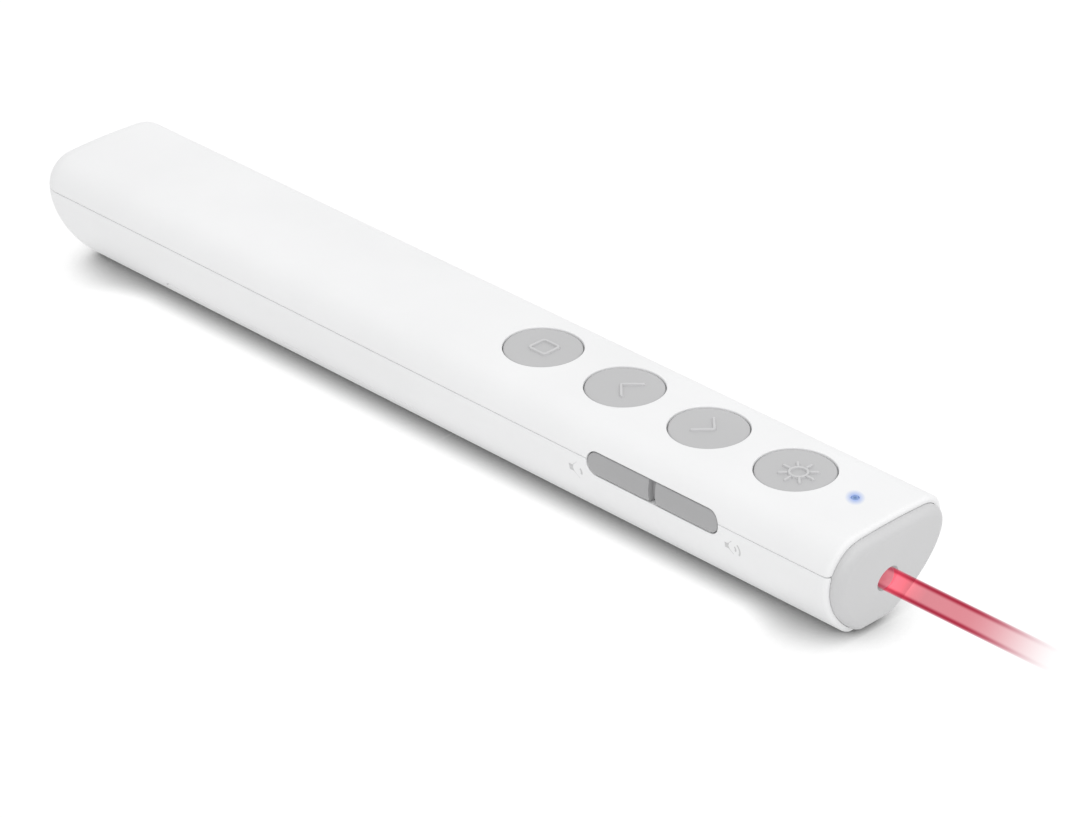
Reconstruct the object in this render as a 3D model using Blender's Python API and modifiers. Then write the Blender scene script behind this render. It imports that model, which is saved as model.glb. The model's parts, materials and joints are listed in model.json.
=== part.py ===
"""A slim wireless presenter with a laser pointer, built as separate pieces.

Metres, +Z up. The presenter lies on its flat underside with its nose, where the laser
leaves, towards +X. The origin is under the middle of the whole length, on the surface
that the underside rests on. The side keys are on -Y.
"""

import math

import bmesh
import bpy
from mathutils import Matrix, Vector
from mathutils.geometry import interpolate_bezier

# Case
SEAM_BELOW_TOP = 0.0051
TOP_FLAT_BESIDE_KEY = 0.00055
CROWN = 0.0002
BOTTOM_FLAT_HALF = 0.0028
WALL = 0.0015
TAIL_ROUND = 0.0037
LIP_ROUND = 0.0007
UPPER_HANDLE_SHARES = (0.72, 0.41)
LOWER_HANDLE_SHARES = (0.53, 0.10)
TAIL_NARROWING_SHARES = (0.33, 0.80)
NOSE_SLANT_SHARE = 0.215

# Nose cap
CAP_INSET = 0.00085
CAP_DOME = 0.0016
CAP_EDGE = 0.0013
PLUG_DEPTH = 0.0025
PLUG_WALL = 0.0012
PLUG_WEB = 0.0008
APERTURE_RADIUS = 0.0018
SLEEVE_WALL = 0.0008

# Clearances
FIT_GAP = 0.0003
KEY_GAP = 0.00025
SOLDER_GAP = 0.0001
BORE_GAP = 0.00025
PIVOT_GAP = 0.0001
OVERRUN = 0.0010

# Top keys, counted from the nose
KEY_RADIUS = 0.0055
KEY_SPACING = 0.0038
KEY_FROM_SIDE = 0.0050
REAR_KEY_AHEAD_OF_BAY = 0.01375
KEY_RECESS = 0.0001
KEY_EDGE = 0.0002
KEY_FLANGE = 0.0007
KEY_FLANGE_THICKNESS = 0.0008
KEY_STEM_RADIUS = 0.0016
KEY_STEM_LENGTH = 0.0008
KEY_TRAVEL = 0.0004
KEY_NAMES = ("laser", "next", "previous", "black_screen")

# Indicator light
LIGHT_AHEAD_OF_KEY = 0.0099
LIGHT_FROM_NOSE = 0.00735
LIGHT_RADIUS = 0.0005
LIGHT_FLANGE = 0.0006
LIGHT_FLANGE_THICKNESS = 0.0006

# Circuit board and what it carries
BOARD_THICKNESS = 0.0008
BOARD_AHEAD_OF_BAY = 0.0007
BOARD_BEHIND_PLUG = 0.0004
SWITCH_SIDE = 0.0052
SWITCH_HEIGHT = 0.0015
PLUNGER_RADIUS = 0.0011
PLUNGER_SUNK = 0.0004
SIDE_SWITCH_SIZE = (0.0045, 0.0026, 0.0018)
SIDE_PLUNGER_RADIUS = 0.0006
SIDE_PLUNGER_PROUD = 0.0006
SIDE_PLUNGER_SUNK = 0.0009
LED_SIZE = (0.0016, 0.0010, 0.0006)
RADIO_CHIP_SIZE = (0.0040, 0.0040, 0.0009)
CONTROL_CHIP_SIZE = (0.0050, 0.0044, 0.0012)
CRYSTAL_SIZE = (0.0032, 0.0025, 0.0008)
INDUCTOR_SIZE = (0.0036, 0.0036, 0.0014)
CAPACITOR_SIZE = (0.0035, 0.0028, 0.0013)
DRIVER_CHIP_SIZE = (0.0029, 0.0016, 0.0010)
CHIP_PLACE_SHARES = (-0.05, 0.09, 0.23, 0.37, 0.51, 0.65)

# Side rocker
ROCKER_ABOVE_BOARD = 0.0009
ROCKER_LENGTH = 0.0230
ROCKER_HEIGHT = 0.0036
ROCKER_CORNER = 0.0014
ROCKER_THICKNESS = 0.0018
ROCKER_EDGE = 0.0002
ROCKER_GROOVE = 0.0006
ROCKER_PUSHER_FROM_END = 0.0040
ROCKER_PUSHER_WIDTH = 0.0020
ROCKER_PUSHER_HEIGHT = 0.0016
ROCKER_PUSHER_REACH = 0.0006
ROCKER_TILT_DEGREES = 2.5
PIVOT_RADIUS = 0.0005
PIVOT_INBOARD = 0.0028
PIVOT_BOSS_WALL = 0.0007
PIVOT_BOSS_RISE = 0.0009
PIVOT_POST_WALL = 0.0004
PIVOT_SUNK = 0.0010

# Laser module
BARREL_BELOW_BOARD = 0.00035
BARREL_RADIUS = 0.0020
BARREL_LENGTH = 0.0100
BARREL_BORE = 0.0014
BARREL_NOSE_BEHIND_FACE = 0.0031
BARREL_CHAMFER = 0.0002
LENS_RADIUS = 0.0011
LENS_THICKNESS = 0.0008
LENS_BEHIND_NOSE = 0.0006
LENS_FALL_SHARES = (0.1, 0.35)
DIODE_RADIUS = 0.0011
DIODE_LENGTH = 0.0022
DIODE_FLANGE_RADIUS = 0.0018
DIODE_FLANGE_THICKNESS = 0.0006
LASER_LEAD_RADIUS = 0.0002
LASER_LEAD_SPREAD = 0.0007
LASER_LEAD_RUN = 0.0016
SADDLE_THICKNESS = 0.0010
SADDLE_AHEAD_OF_REAR = 0.0016
SADDLE_BEHIND_FRONT = 0.0045

# Battery bay, its cover and the cell
COVER_FROM_TAIL = 0.0220
COVER_HEIGHT = 0.0044
BULKHEAD_THICKNESS = 0.0008
BULKHEAD_BELOW_SEAM = 0.0013
TONGUE_WIDTH = 0.0040
TONGUE_THICKNESS = 0.0008
TONGUE_REACH = 0.0016
TONGUE_ROOT = 0.0020
HINGE_HEIGHT = 0.0002
CELL_RADIUS = 0.00525
CELL_LENGTH = 0.0445
CELL_ABOVE_FLOOR = 0.0010
CELL_BELOW_ROOF = 0.0029
CELL_EDGE = 0.0004
CELL_NUB_RADIUS = 0.0019
CELL_NUB_LENGTH = 0.0009
CONTACT_THICKNESS = 0.0004
CONTACT_WIDTH = 0.0080
CONTACT_HEIGHT = 0.0078
CONTACT_DIMPLE_RADIUS = 0.0016
CONTACT_DIMPLE = 0.0004
SPRING_WIRE = 0.0003
SPRING_WIDE_RADIUS = 0.0037
SPRING_NARROW_RADIUS = 0.0022
SPRING_LENGTH = 0.0032
SPRING_TURNS = 2.5
CELL_LEAD_RADIUS = 0.0005
LEAD_RISE = 0.0009
LEAD_RUN_OUT = 0.0054
LEAD_END_RUN = 0.0018

# Fasteners
SCREW_RADIUS = 0.0009
SCREW_HEAD_RADIUS = 0.0016
SCREW_CROWN_RADIUS = 0.0012
SCREW_HEAD_HEIGHT = 0.0010
SCREW_RECESS = 0.0006
SCREW_RECESS_RADIUS = 0.0007
BOARD_SCREW_LENGTH = 0.0042
POST_WALL = 0.0009
REAR_SCREW_FROM_BOARD_END = 0.0032
FRONT_SCREW_AHEAD_OF_KEY = 0.0070
FRONT_SCREW_FROM_EDGE = 0.0022
CASE_SCREW_FROM_TAIL = 0.0125
CASE_SCREW_SEAT = 0.0022
CASE_SCREW_LENGTH = 0.0090
CASE_BOSS_TOP = 0.0070
TAB_LENGTH = 0.0040
TAB_THICKNESS = 0.0009
TAB_DROP = 0.0018
TAB_RISE = 0.0028

# Smoothness
WELD = 0.000001
OUTLINE_STEPS = 6
END_STEPS = 4
KEY_STEPS = 32
ROUND_STEPS = 16
SMALL_STEPS = 12
CORNER_STEPS = 4
COIL_STEPS = 10
WIRE_RESOLUTION = 1
SMOOTH_DEGREES = 35.0
FLAT_DEGREES = 1.0
RIM_DEGREES = 60.0

# The case's own sizes, worked out from what it holds
KEY_PITCH = 2 * KEY_RADIUS + KEY_SPACING
BAY_ENDS = 2 * (BULKHEAD_THICKNESS + FIT_GAP + CONTACT_THICKNESS + FIT_GAP)
BAY_LENGTH = BAY_ENDS + SPRING_LENGTH + FIT_GAP + CELL_LENGTH + CONTACT_DIMPLE
OPENING_LENGTH = BAY_LENGTH + TONGUE_ROOT
KEY_ROW = (len(KEY_NAMES) - 1) * KEY_PITCH
LASER_KEY_FROM_NOSE = LIGHT_AHEAD_OF_KEY + LIGHT_FROM_NOSE
KEYS_END = REAR_KEY_AHEAD_OF_BAY + KEY_ROW + LASER_KEY_FROM_NOSE
LENGTH = COVER_FROM_TAIL + OPENING_LENGTH + KEYS_END
WIDTH = 2 * (KEY_RADIUS + KEY_FROM_SIDE)
HEIGHT = 2 * (WALL + CELL_RADIUS) + CELL_ABOVE_FLOOR + CELL_BELOW_ROOF
SEAM_HEIGHT = HEIGHT - SEAM_BELOW_TOP
TOP_FLAT_HALF = KEY_RADIUS + KEY_GAP + TOP_FLAT_BESIDE_KEY

# Places worked out from the sizes above
TAIL_X = -LENGTH / 2
NOSE_X = LENGTH / 2
MIDDLE_Z = HEIGHT / 2
FACE_X = NOSE_X - NOSE_SLANT_SHARE * (MIDDLE_Z - CAP_INSET - CAP_EDGE)
PARTING_X = FACE_X - CAP_DOME
PLUG_BACK_X = PARTING_X - PLUG_DEPTH
ROOF_Z = HEIGHT - WALL
KEY_TOP = HEIGHT - KEY_RECESS
KEY_HOLE_RADIUS = KEY_RADIUS + KEY_GAP
FLANGE_TOP = ROOF_Z - CROWN - FIT_GAP
FLANGE_BOTTOM = FLANGE_TOP - KEY_FLANGE_THICKNESS
STEM_BOTTOM = FLANGE_BOTTOM - KEY_STEM_LENGTH
LASER_KEY_X = NOSE_X - LASER_KEY_FROM_NOSE
REAR_KEY_X = LASER_KEY_X - KEY_ROW
LIGHT_X = NOSE_X - LIGHT_FROM_NOSE
OPENING_TAIL = TAIL_X + COVER_FROM_TAIL
OPENING_NOSE = OPENING_TAIL + OPENING_LENGTH
HINGE_X = OPENING_NOSE - FIT_GAP / 2
BAY_TAIL = OPENING_TAIL + BULKHEAD_THICKNESS
BAY_NOSE = OPENING_NOSE - TONGUE_ROOT - BULKHEAD_THICKNESS
SWITCH_TOP = STEM_BOTTOM - FIT_GAP - KEY_TRAVEL - PIVOT_GAP
BOARD_TOP = SWITCH_TOP - SWITCH_HEIGHT - SOLDER_GAP
BOARD_BOTTOM = BOARD_TOP - BOARD_THICKNESS
BOARD_REAR = OPENING_NOSE + BOARD_AHEAD_OF_BAY
BOARD_FRONT = PLUG_BACK_X - BOARD_BEHIND_PLUG
BOARD_WIDTH = WIDTH - 2 * (WALL + TAB_THICKNESS + 2 * FIT_GAP)
FRONT_SCREW_SPREAD = BOARD_WIDTH / 2 - FRONT_SCREW_FROM_EDGE
ROCKER_X = LASER_KEY_X - KEY_PITCH
ROCKER_Z = BOARD_TOP + ROCKER_ABOVE_BOARD
ROCKER_FACE_Y = -WIDTH / 2
ROCKER_BACK_Y = ROCKER_FACE_Y + ROCKER_THICKNESS
PUSHER_BACK_Y = ROCKER_BACK_Y + ROCKER_PUSHER_REACH
PUSHER_SPREAD = ROCKER_LENGTH / 2 - ROCKER_PUSHER_FROM_END
PUSHER_TRAVEL = PUSHER_SPREAD * math.sin(math.radians(ROCKER_TILT_DEGREES))
PIVOT_Y = ROCKER_FACE_Y + PIVOT_INBOARD
PIVOT_FOOT = BOARD_TOP + FIT_GAP
PIVOT_BOSS_TOP = ROCKER_Z + PIVOT_BOSS_RISE
LASER_HEIGHT = BOARD_BOTTOM - BARREL_BELOW_BOARD - BARREL_RADIUS
BARREL_FRONT = FACE_X - BARREL_NOSE_BEHIND_FACE
BARREL_REAR = BARREL_FRONT - BARREL_LENGTH
CELL_Z = WALL + CELL_ABOVE_FLOOR + CELL_RADIUS
CONTACT_TOP = CELL_Z + CONTACT_HEIGHT / 2
NEGATIVE_PLATE_X = BAY_TAIL + FIT_GAP
SPRING_TAIL = NEGATIVE_PLATE_X + CONTACT_THICKNESS + FIT_GAP
POSITIVE_PLATE_X = BAY_NOSE - FIT_GAP - CONTACT_THICKNESS
CELL_NOSE = POSITIVE_PLATE_X - CONTACT_DIMPLE - FIT_GAP
CASE_SCREW_X = TAIL_X + CASE_SCREW_FROM_TAIL


def clear_scene():
    for old in list(bpy.data.objects):
        bpy.data.objects.remove(old)


def new_group(name):
    group = bpy.data.collections.new(name)
    bpy.context.scene.collection.children.link(group)
    return group


def material(name, colour, roughness, metallic=0.0):
    made = bpy.data.materials.new(name)
    made.use_nodes = True
    shader = made.node_tree.nodes["Principled BSDF"]
    shader.inputs["Base Color"].default_value = (*colour, 1.0)
    shader.inputs["Roughness"].default_value = roughness
    shader.inputs["Metallic"].default_value = metallic
    return made


def dressed(piece, finish):
    """Gives a piece its material and smooth shading with crisp edges."""
    piece.data.materials.clear()
    piece.data.materials.append(finish)
    if piece.type == "MESH":
        piece.data.shade_smooth()
        piece.data.set_sharp_from_angle(angle=math.radians(SMOOTH_DEGREES))
    return piece


def object_of(name, shape, group):
    mesh = bpy.data.meshes.new(name)
    shape.to_mesh(mesh)
    shape.free()
    piece = bpy.data.objects.new(name, mesh)
    group.objects.link(piece)
    if group.hide_render:
        piece.hide_render = True
        piece.display_type = "WIRE"
    return piece


def box(name, low, high, group):
    """A box between two opposite corners, with its origin in its middle."""
    low = Vector(low)
    high = Vector(high)
    shape = bmesh.new()
    bmesh.ops.create_cube(shape, size=1.0)
    bmesh.ops.scale(shape, vec=high - low, verts=shape.verts)
    piece = object_of(name, shape, group)
    piece.location = (low + high) / 2
    return piece


def block(name, centre_x, centre_y, bottom, size, group):
    """A box of the given size that stands on a height."""
    half = Vector(size) / 2
    low = (centre_x - half.x, centre_y - half.y, bottom)
    high = (centre_x + half.x, centre_y + half.y, bottom + size[2])
    return box(name, low, high, group)


def rod(name, start, end, radius, steps, group):
    """A plain cylinder between two points."""
    start = Vector(start)
    end = Vector(end)
    along = end - start
    shape = bmesh.new()
    size = {"radius1": radius, "radius2": radius, "depth": along.length}
    bmesh.ops.create_cone(shape, cap_ends=True, segments=steps, **size)
    piece = object_of(name, shape, group)
    piece.location = (start + end) / 2
    piece.rotation_euler = along.to_track_quat("Z", "Y").to_euler()
    return piece


def upright(name, x, y, low, high, radius, steps, group):
    """A plain cylinder that stands between two heights."""
    return rod(name, (x, y, low), (x, y, high), radius, steps, group)


def turned(name, profile, place, steps, group, along_x=False, closed=False):
    """A profile of (radius, height) points, outer side downwards, turned about its own axis."""
    shape = bmesh.new()
    verts = [shape.verts.new((radius, 0.0, height)) for radius, height in profile]
    for first, second in zip(verts, verts[1:]):
        shape.edges.new((first, second))
    if closed:
        shape.edges.new((verts[-1], verts[0]))
    piece = object_of(name, shape, group)
    piece.location = place
    if along_x:
        piece.rotation_euler = (0.0, math.radians(90.0), 0.0)
    screw = piece.modifiers.new("turn", "SCREW")
    screw.axis = "Z"
    screw.angle = math.radians(360.0)
    screw.steps = steps
    screw.render_steps = steps
    screw.use_merge_vertices = True
    screw.merge_threshold = WELD
    return piece


def wire(name, points, radius, group):
    """A round wire through the points."""
    curve = bpy.data.curves.new(name, "CURVE")
    curve.dimensions = "3D"
    curve.bevel_depth = radius
    curve.bevel_resolution = WIRE_RESOLUTION
    curve.use_fill_caps = True
    line = curve.splines.new("POLY")
    line.points.add(len(points) - 1)
    for spot, point in zip(line.points, points):
        spot.co = (*point, 1.0)
    piece = bpy.data.objects.new(name, curve)
    group.objects.link(piece)
    return piece


def smooth_route(stops, steps):
    """Points on one smooth curve through the stops."""
    stops = [Vector(stop) for stop in stops]
    padded = [stops[0]] + stops + [stops[-1]]
    route = [stops[0]]
    for before, start, end, after in zip(padded, padded[1:], padded[2:], padded[3:]):
        leaving = start + (end - before) / 6
        arriving = end - (after - start) / 6
        route += interpolate_bezier(start, leaving, arriving, end, steps + 1)[1:]
    return route


def combine(piece, tool, operation="DIFFERENCE"):
    """Adds a Boolean with another object to a piece."""
    step = piece.modifiers.new(tool.name, "BOOLEAN")
    step.operation = operation
    step.solver = "EXACT"
    step.object = tool
    return piece


def quarter(start, first_handle, second_handle, end):
    """Points of one Bezier curve in the cross-section, without its first."""
    knots = [Vector((0.0, y, z)) for y, z in (start, first_handle, second_handle, end)]
    return [(point.y, point.z) for point in interpolate_bezier(*knots, OUTLINE_STEPS + 1)[1:]]


def upper_half():
    """The cross-section from the middle of the top round to the seam."""
    across_share, up_share = UPPER_HANDLE_SHARES
    side = WIDTH / 2
    edge_z = HEIGHT - CROWN
    edge = (TOP_FLAT_HALF, edge_z)
    first = (TOP_FLAT_HALF + across_share * (side - TOP_FLAT_HALF), edge_z)
    second = (side, SEAM_HEIGHT + up_share * (edge_z - SEAM_HEIGHT))
    return [(0.0, HEIGHT), edge] + quarter(edge, first, second, (side, SEAM_HEIGHT))


def lower_half():
    """The cross-section from the seam round to the edge of the flat underside."""
    down_share, across_share = LOWER_HANDLE_SHARES
    side = WIDTH / 2
    first = (side, SEAM_HEIGHT * (1.0 - down_share))
    second = (BOTTOM_FLAT_HALF + across_share * (side - BOTTOM_FLAT_HALF), 0.0)
    seam = (side, SEAM_HEIGHT)
    return [seam] + quarter(seam, first, second, (BOTTOM_FLAT_HALF, 0.0))


def mirrored(half):
    """Both sides of a half outline, from one side's last point to the other's."""
    right = [point for point in half if point[0] > WELD]
    middle = [point for point in half if point[0] <= WELD]
    return [(-y, z) for y, z in reversed(right)] + middle + right


def upper_outline(edge_z):
    """The part of the cross-section above the seam, closed straight across at a height."""
    half = upper_half()
    return mirrored(half[:-1] + [(half[-1][0], edge_z)])


def lower_outline(edge_z):
    """The part of the cross-section below a height, closed straight across there."""
    half = lower_half()
    below = [point for point in half if point[1] < edge_z]
    above = half[len(half) - len(below) - 1]
    share = (edge_z - below[0][1]) / (above[1] - below[0][1])
    crossing_y = below[0][0] + share * (above[0] - below[0][0])
    return mirrored([(crossing_y, edge_z)] + below)


def full_outline(inset):
    """The whole cross-section, drawn in all round by an inset."""
    half = upper_half() + lower_half()[1:]
    narrow = 1.0 - 2 * inset / WIDTH
    low = 1.0 - 2 * inset / HEIGHT
    return mirrored([(y * narrow, MIDDLE_Z + (z - MIDDLE_Z) * low) for y, z in half])


def slanted_ring(outline, middle_x):
    """The outline on a plane that leans as the nose does."""
    return [(middle_x + NOSE_SLANT_SHARE * (z - MIDDLE_Z), y, z) for y, z in outline]


def upright_ring(outline, x):
    return [(x, y, z) for y, z in outline]


def end_angles():
    return [math.radians(90.0) * step / END_STEPS for step in range(END_STEPS + 1)]


def tail_rings(outline, end_x, about_z):
    """Rings that close in to the rounded tail, drawn towards a height."""
    rings = []
    for angle in end_angles():
        closing = 1.0 - math.cos(angle)
        narrow = 1.0 - TAIL_NARROWING_SHARES[0] * closing
        low = 1.0 - TAIL_NARROWING_SHARES[1] * closing
        x = end_x + TAIL_ROUND * (1.0 - math.sin(angle))
        rings.append([(x, y * narrow, about_z + (z - about_z) * low) for y, z in outline])
    return rings


def loft(name, rings, group):
    """A closed solid through rings that have the same number of points."""
    shape = bmesh.new()
    layers = [[shape.verts.new(point) for point in ring] for ring in rings]
    for near, far in zip(layers, layers[1:]):
        for here in range(len(near)):
            ahead = (here + 1) % len(near)
            shape.faces.new((near[here], near[ahead], far[ahead], far[here]))
    shape.faces.new(layers[0])
    shape.faces.new(layers[-1])
    bmesh.ops.recalc_face_normals(shape, faces=shape.faces)
    return object_of(name, shape, group)


def lip_outline(outline, inset, edge_z):
    """The outline drawn in all round but for its straight edge on the seam."""
    narrow = 1.0 - 2 * inset / WIDTH
    low = 1.0 - 2 * inset / HEIGHT
    drawn_in = []
    for y, z in outline:
        level = z if z == edge_z else MIDDLE_Z + (z - MIDDLE_Z) * low
        drawn_in.append((y * narrow, level))
    return drawn_in


def case_half(name, outline, edge_z, group):
    """One half of the case as a solid, with a rounded lip at the nose and a rounded tail."""
    rings = []
    for angle in end_angles():
        lip = lip_outline(outline, LIP_ROUND * (1.0 - math.sin(angle)), edge_z)
        rings.append(slanted_ring(lip, PARTING_X - LIP_ROUND * (1.0 - math.cos(angle))))
    rings += tail_rings(outline, TAIL_X, edge_z)
    return loft(name, rings, group)


def hollow_core(name, inset, group):
    """The space inside the case, open past the nose."""
    outline = full_outline(inset)
    rings = [slanted_ring(outline, PARTING_X + OVERRUN)]
    rings += tail_rings(outline, TAIL_X + inset, SEAM_HEIGHT)
    return loft(name, rings, group)


def rocker_outline(grow):
    """The pill shape of the side rocker as (along, up) points, grown all round."""
    half_length = ROCKER_LENGTH / 2 + grow
    half_height = ROCKER_HEIGHT / 2 + grow
    corner = ROCKER_CORNER + grow
    points = []
    for turn, (along, up) in enumerate(((1, 1), (-1, 1), (-1, -1), (1, -1))):
        for step in range(CORNER_STEPS + 1):
            angle = math.radians(90.0) * (turn + step / CORNER_STEPS)
            x = along * (half_length - corner) + corner * math.cos(angle)
            z = up * (half_height - corner) + corner * math.sin(angle)
            points.append((x, z))
    return points


def side_plate(name, outline, near_y, far_y, group):
    """An outline of (along, up) points about the rocker's middle, made solid in Y."""
    curve = bpy.data.curves.new(name, "CURVE")
    curve.dimensions = "2D"
    curve.fill_mode = "BOTH"
    curve.extrude = (far_y - near_y) / 2
    line = curve.splines.new("POLY")
    line.points.add(len(outline) - 1)
    for spot, (along, up) in zip(line.points, outline):
        spot.co = (along, up, 0.0, 1.0)
    line.use_cyclic_u = True
    drawn = bpy.data.objects.new(name + "_outline", curve)
    bpy.context.scene.collection.objects.link(drawn)
    graph = bpy.context.evaluated_depsgraph_get()
    mesh = bpy.data.meshes.new_from_object(drawn.evaluated_get(graph))
    bpy.data.objects.remove(drawn)
    shape = bmesh.new()
    shape.from_mesh(mesh)
    bpy.data.meshes.remove(mesh)
    bmesh.ops.remove_doubles(shape, verts=shape.verts, dist=WELD)
    flat = {"verts": shape.verts, "edges": shape.edges}
    bmesh.ops.dissolve_limit(shape, angle_limit=math.radians(FLAT_DEGREES), **flat)
    bmesh.ops.recalc_face_normals(shape, faces=shape.faces)
    turn = Matrix.Rotation(math.radians(90.0), 3, "X")
    bmesh.ops.rotate(shape, matrix=turn, verts=shape.verts)
    piece = object_of(name, shape, group)
    piece.location = (ROCKER_X, (near_y + far_y) / 2, ROCKER_Z)
    return piece


def rocker_slot(group):
    """The hole through the case wall that the rocker sits in."""
    outer_y = ROCKER_FACE_Y - OVERRUN
    inner_y = ROCKER_FACE_Y + WALL + OVERRUN
    return side_plate("rocker_slot", rocker_outline(FIT_GAP), outer_y, inner_y, group)


def inner_feature(piece, tool, core):
    """Joins a rib, post or tab to a shell, kept inside the outer skin."""
    combine(tool, core, "INTERSECT")
    combine(piece, tool, "UNION")


def key_places():
    return [(name, LASER_KEY_X - index * KEY_PITCH) for index, name in enumerate(KEY_NAMES)]


def board_screw_places():
    rear = (BOARD_REAR + REAR_SCREW_FROM_BOARD_END, 0.0)
    front_x = LASER_KEY_X + FRONT_SCREW_AHEAD_OF_KEY
    return {
        "board_screw_rear": rear,
        "board_screw_front_left": (front_x, FRONT_SCREW_SPREAD),
        "board_screw_front_right": (front_x, -FRONT_SCREW_SPREAD),
    }


def posts_of_top():
    """The posts that hang from the roof, as (name, x, y, foot, depth of hole, hole, wall)."""
    posts = []
    bore = SCREW_RADIUS + BORE_GAP
    foot = BOARD_TOP + FIT_GAP
    deep = BOARD_BOTTOM + BOARD_SCREW_LENGTH + FIT_GAP
    for name, (x, y) in board_screw_places().items():
        posts.append((name, x, y, foot, deep, bore, POST_WALL))
    foot = CASE_BOSS_TOP + FIT_GAP
    deep = CASE_SCREW_SEAT + CASE_SCREW_LENGTH + FIT_GAP
    posts.append(("case_screw", CASE_SCREW_X, 0.0, foot, deep, bore, POST_WALL))
    foot = PIVOT_BOSS_TOP + FIT_GAP
    deep = foot + PIVOT_SUNK + PIVOT_GAP
    pin_bore = PIVOT_RADIUS + PIVOT_GAP
    posts.append(("pivot_pin", ROCKER_X, PIVOT_Y, foot, deep, pin_bore, PIVOT_POST_WALL))
    return posts


def add_tabs(shell, cutters, rib_core):
    """The tongues that hang inside the side walls and line the two halves up."""
    inner_side = WIDTH / 2 - WALL - FIT_GAP
    behind_bay = (CASE_SCREW_X + OPENING_TAIL) / 2
    beside_cell = (OPENING_TAIL + OPENING_NOSE) / 2
    between_keys = REAR_KEY_X + KEY_PITCH / 2
    for index, x in enumerate((behind_bay, beside_cell, between_keys)):
        for side in (-1, 1):
            across = sorted((side * inner_side, side * (inner_side - TAB_THICKNESS)))
            low = (x - TAB_LENGTH / 2, across[0], SEAM_HEIGHT - TAB_DROP)
            high = (x + TAB_LENGTH / 2, across[1], SEAM_HEIGHT + TAB_RISE)
            inner_feature(shell, box(f"tab_{index}_{side}", low, high, cutters), rib_core)


def make_top_shell(parts, cutters, core, rib_core, slot, finish):
    edge_z = SEAM_HEIGHT + FIT_GAP / 2
    shell = case_half("top_shell", upper_outline(edge_z), edge_z, parts)
    combine(shell, core)
    pilots = []
    for name, x, y, foot, deep, bore, wall in posts_of_top():
        post = upright("post_" + name, x, y, foot, HEIGHT, bore + wall, ROUND_STEPS, cutters)
        inner_feature(shell, post, rib_core)
        low = foot - OVERRUN
        pilots.append(upright("pilot_" + name, x, y, low, deep, bore, SMALL_STEPS, cutters))
    add_tabs(shell, cutters, rib_core)
    for pilot in pilots:
        combine(shell, pilot)
    low = ROOF_Z - OVERRUN
    high = HEIGHT + OVERRUN
    for name, x in key_places():
        hole = upright("hole_" + name, x, 0.0, low, high, KEY_HOLE_RADIUS, KEY_STEPS, cutters)
        combine(shell, hole)
    bore = LIGHT_RADIUS + BORE_GAP
    combine(shell, upright("hole_light", LIGHT_X, 0.0, low, high, bore, SMALL_STEPS, cutters))
    combine(shell, slot)
    dressed(shell, finish)


def add_saddles(shell, cutters, rib_core):
    """The two ribs that the laser barrel lies in. It gives their grooves back, to be cut last."""
    grooves = []
    rear_x = BARREL_REAR + SADDLE_AHEAD_OF_REAR
    front_x = BARREL_FRONT - SADDLE_BEHIND_FRONT
    radius = BARREL_RADIUS + FIT_GAP
    for name, x in (("rear", rear_x), ("front", front_x)):
        end_x = x + SADDLE_THICKNESS
        low = (x, -WIDTH / 2, 0.0)
        high = (end_x, WIDTH / 2, LASER_HEIGHT)
        inner_feature(shell, box("saddle_" + name, low, high, cutters), rib_core)
        ends = [(end, 0.0, LASER_HEIGHT) for end in (x - OVERRUN, end_x + OVERRUN)]
        grooves.append(rod("groove_" + name, *ends, radius, ROUND_STEPS, cutters))
    return grooves


def make_bottom_shell(parts, cutters, core, rib_core, slot, finish):
    edge_z = SEAM_HEIGHT - FIT_GAP / 2
    shell = case_half("bottom_shell", lower_outline(edge_z), edge_z, parts)
    combine(shell, core)
    for name, x in (("tail", OPENING_TAIL), ("nose", BAY_NOSE)):
        low = (x, -WIDTH / 2, COVER_HEIGHT + FIT_GAP)
        high = (x + BULKHEAD_THICKNESS, WIDTH / 2, SEAM_HEIGHT - BULKHEAD_BELOW_SEAM)
        inner_feature(shell, box("bulkhead_" + name, low, high, cutters), rib_core)
    grooves = add_saddles(shell, cutters, rib_core)
    x = CASE_SCREW_X
    well = SCREW_HEAD_RADIUS + BORE_GAP
    bore = SCREW_RADIUS + BORE_GAP
    top = CASE_BOSS_TOP
    boss = upright("case_boss", x, 0.0, 0.0, top, well + POST_WALL, ROUND_STEPS, cutters)
    inner_feature(shell, boss, rib_core)
    for groove in grooves:
        combine(shell, groove)
    low = (OPENING_TAIL, -WIDTH, -OVERRUN)
    high = (OPENING_NOSE, WIDTH, COVER_HEIGHT)
    combine(shell, box("cover_opening", low, high, cutters))
    seat = CASE_SCREW_SEAT
    combine(shell, upright("case_well", x, 0.0, -OVERRUN, seat, well, ROUND_STEPS, cutters))
    past = top + OVERRUN
    combine(shell, upright("case_bore", x, 0.0, 0.0, past, bore, SMALL_STEPS, cutters))
    combine(shell, slot)
    dressed(shell, finish)


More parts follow.
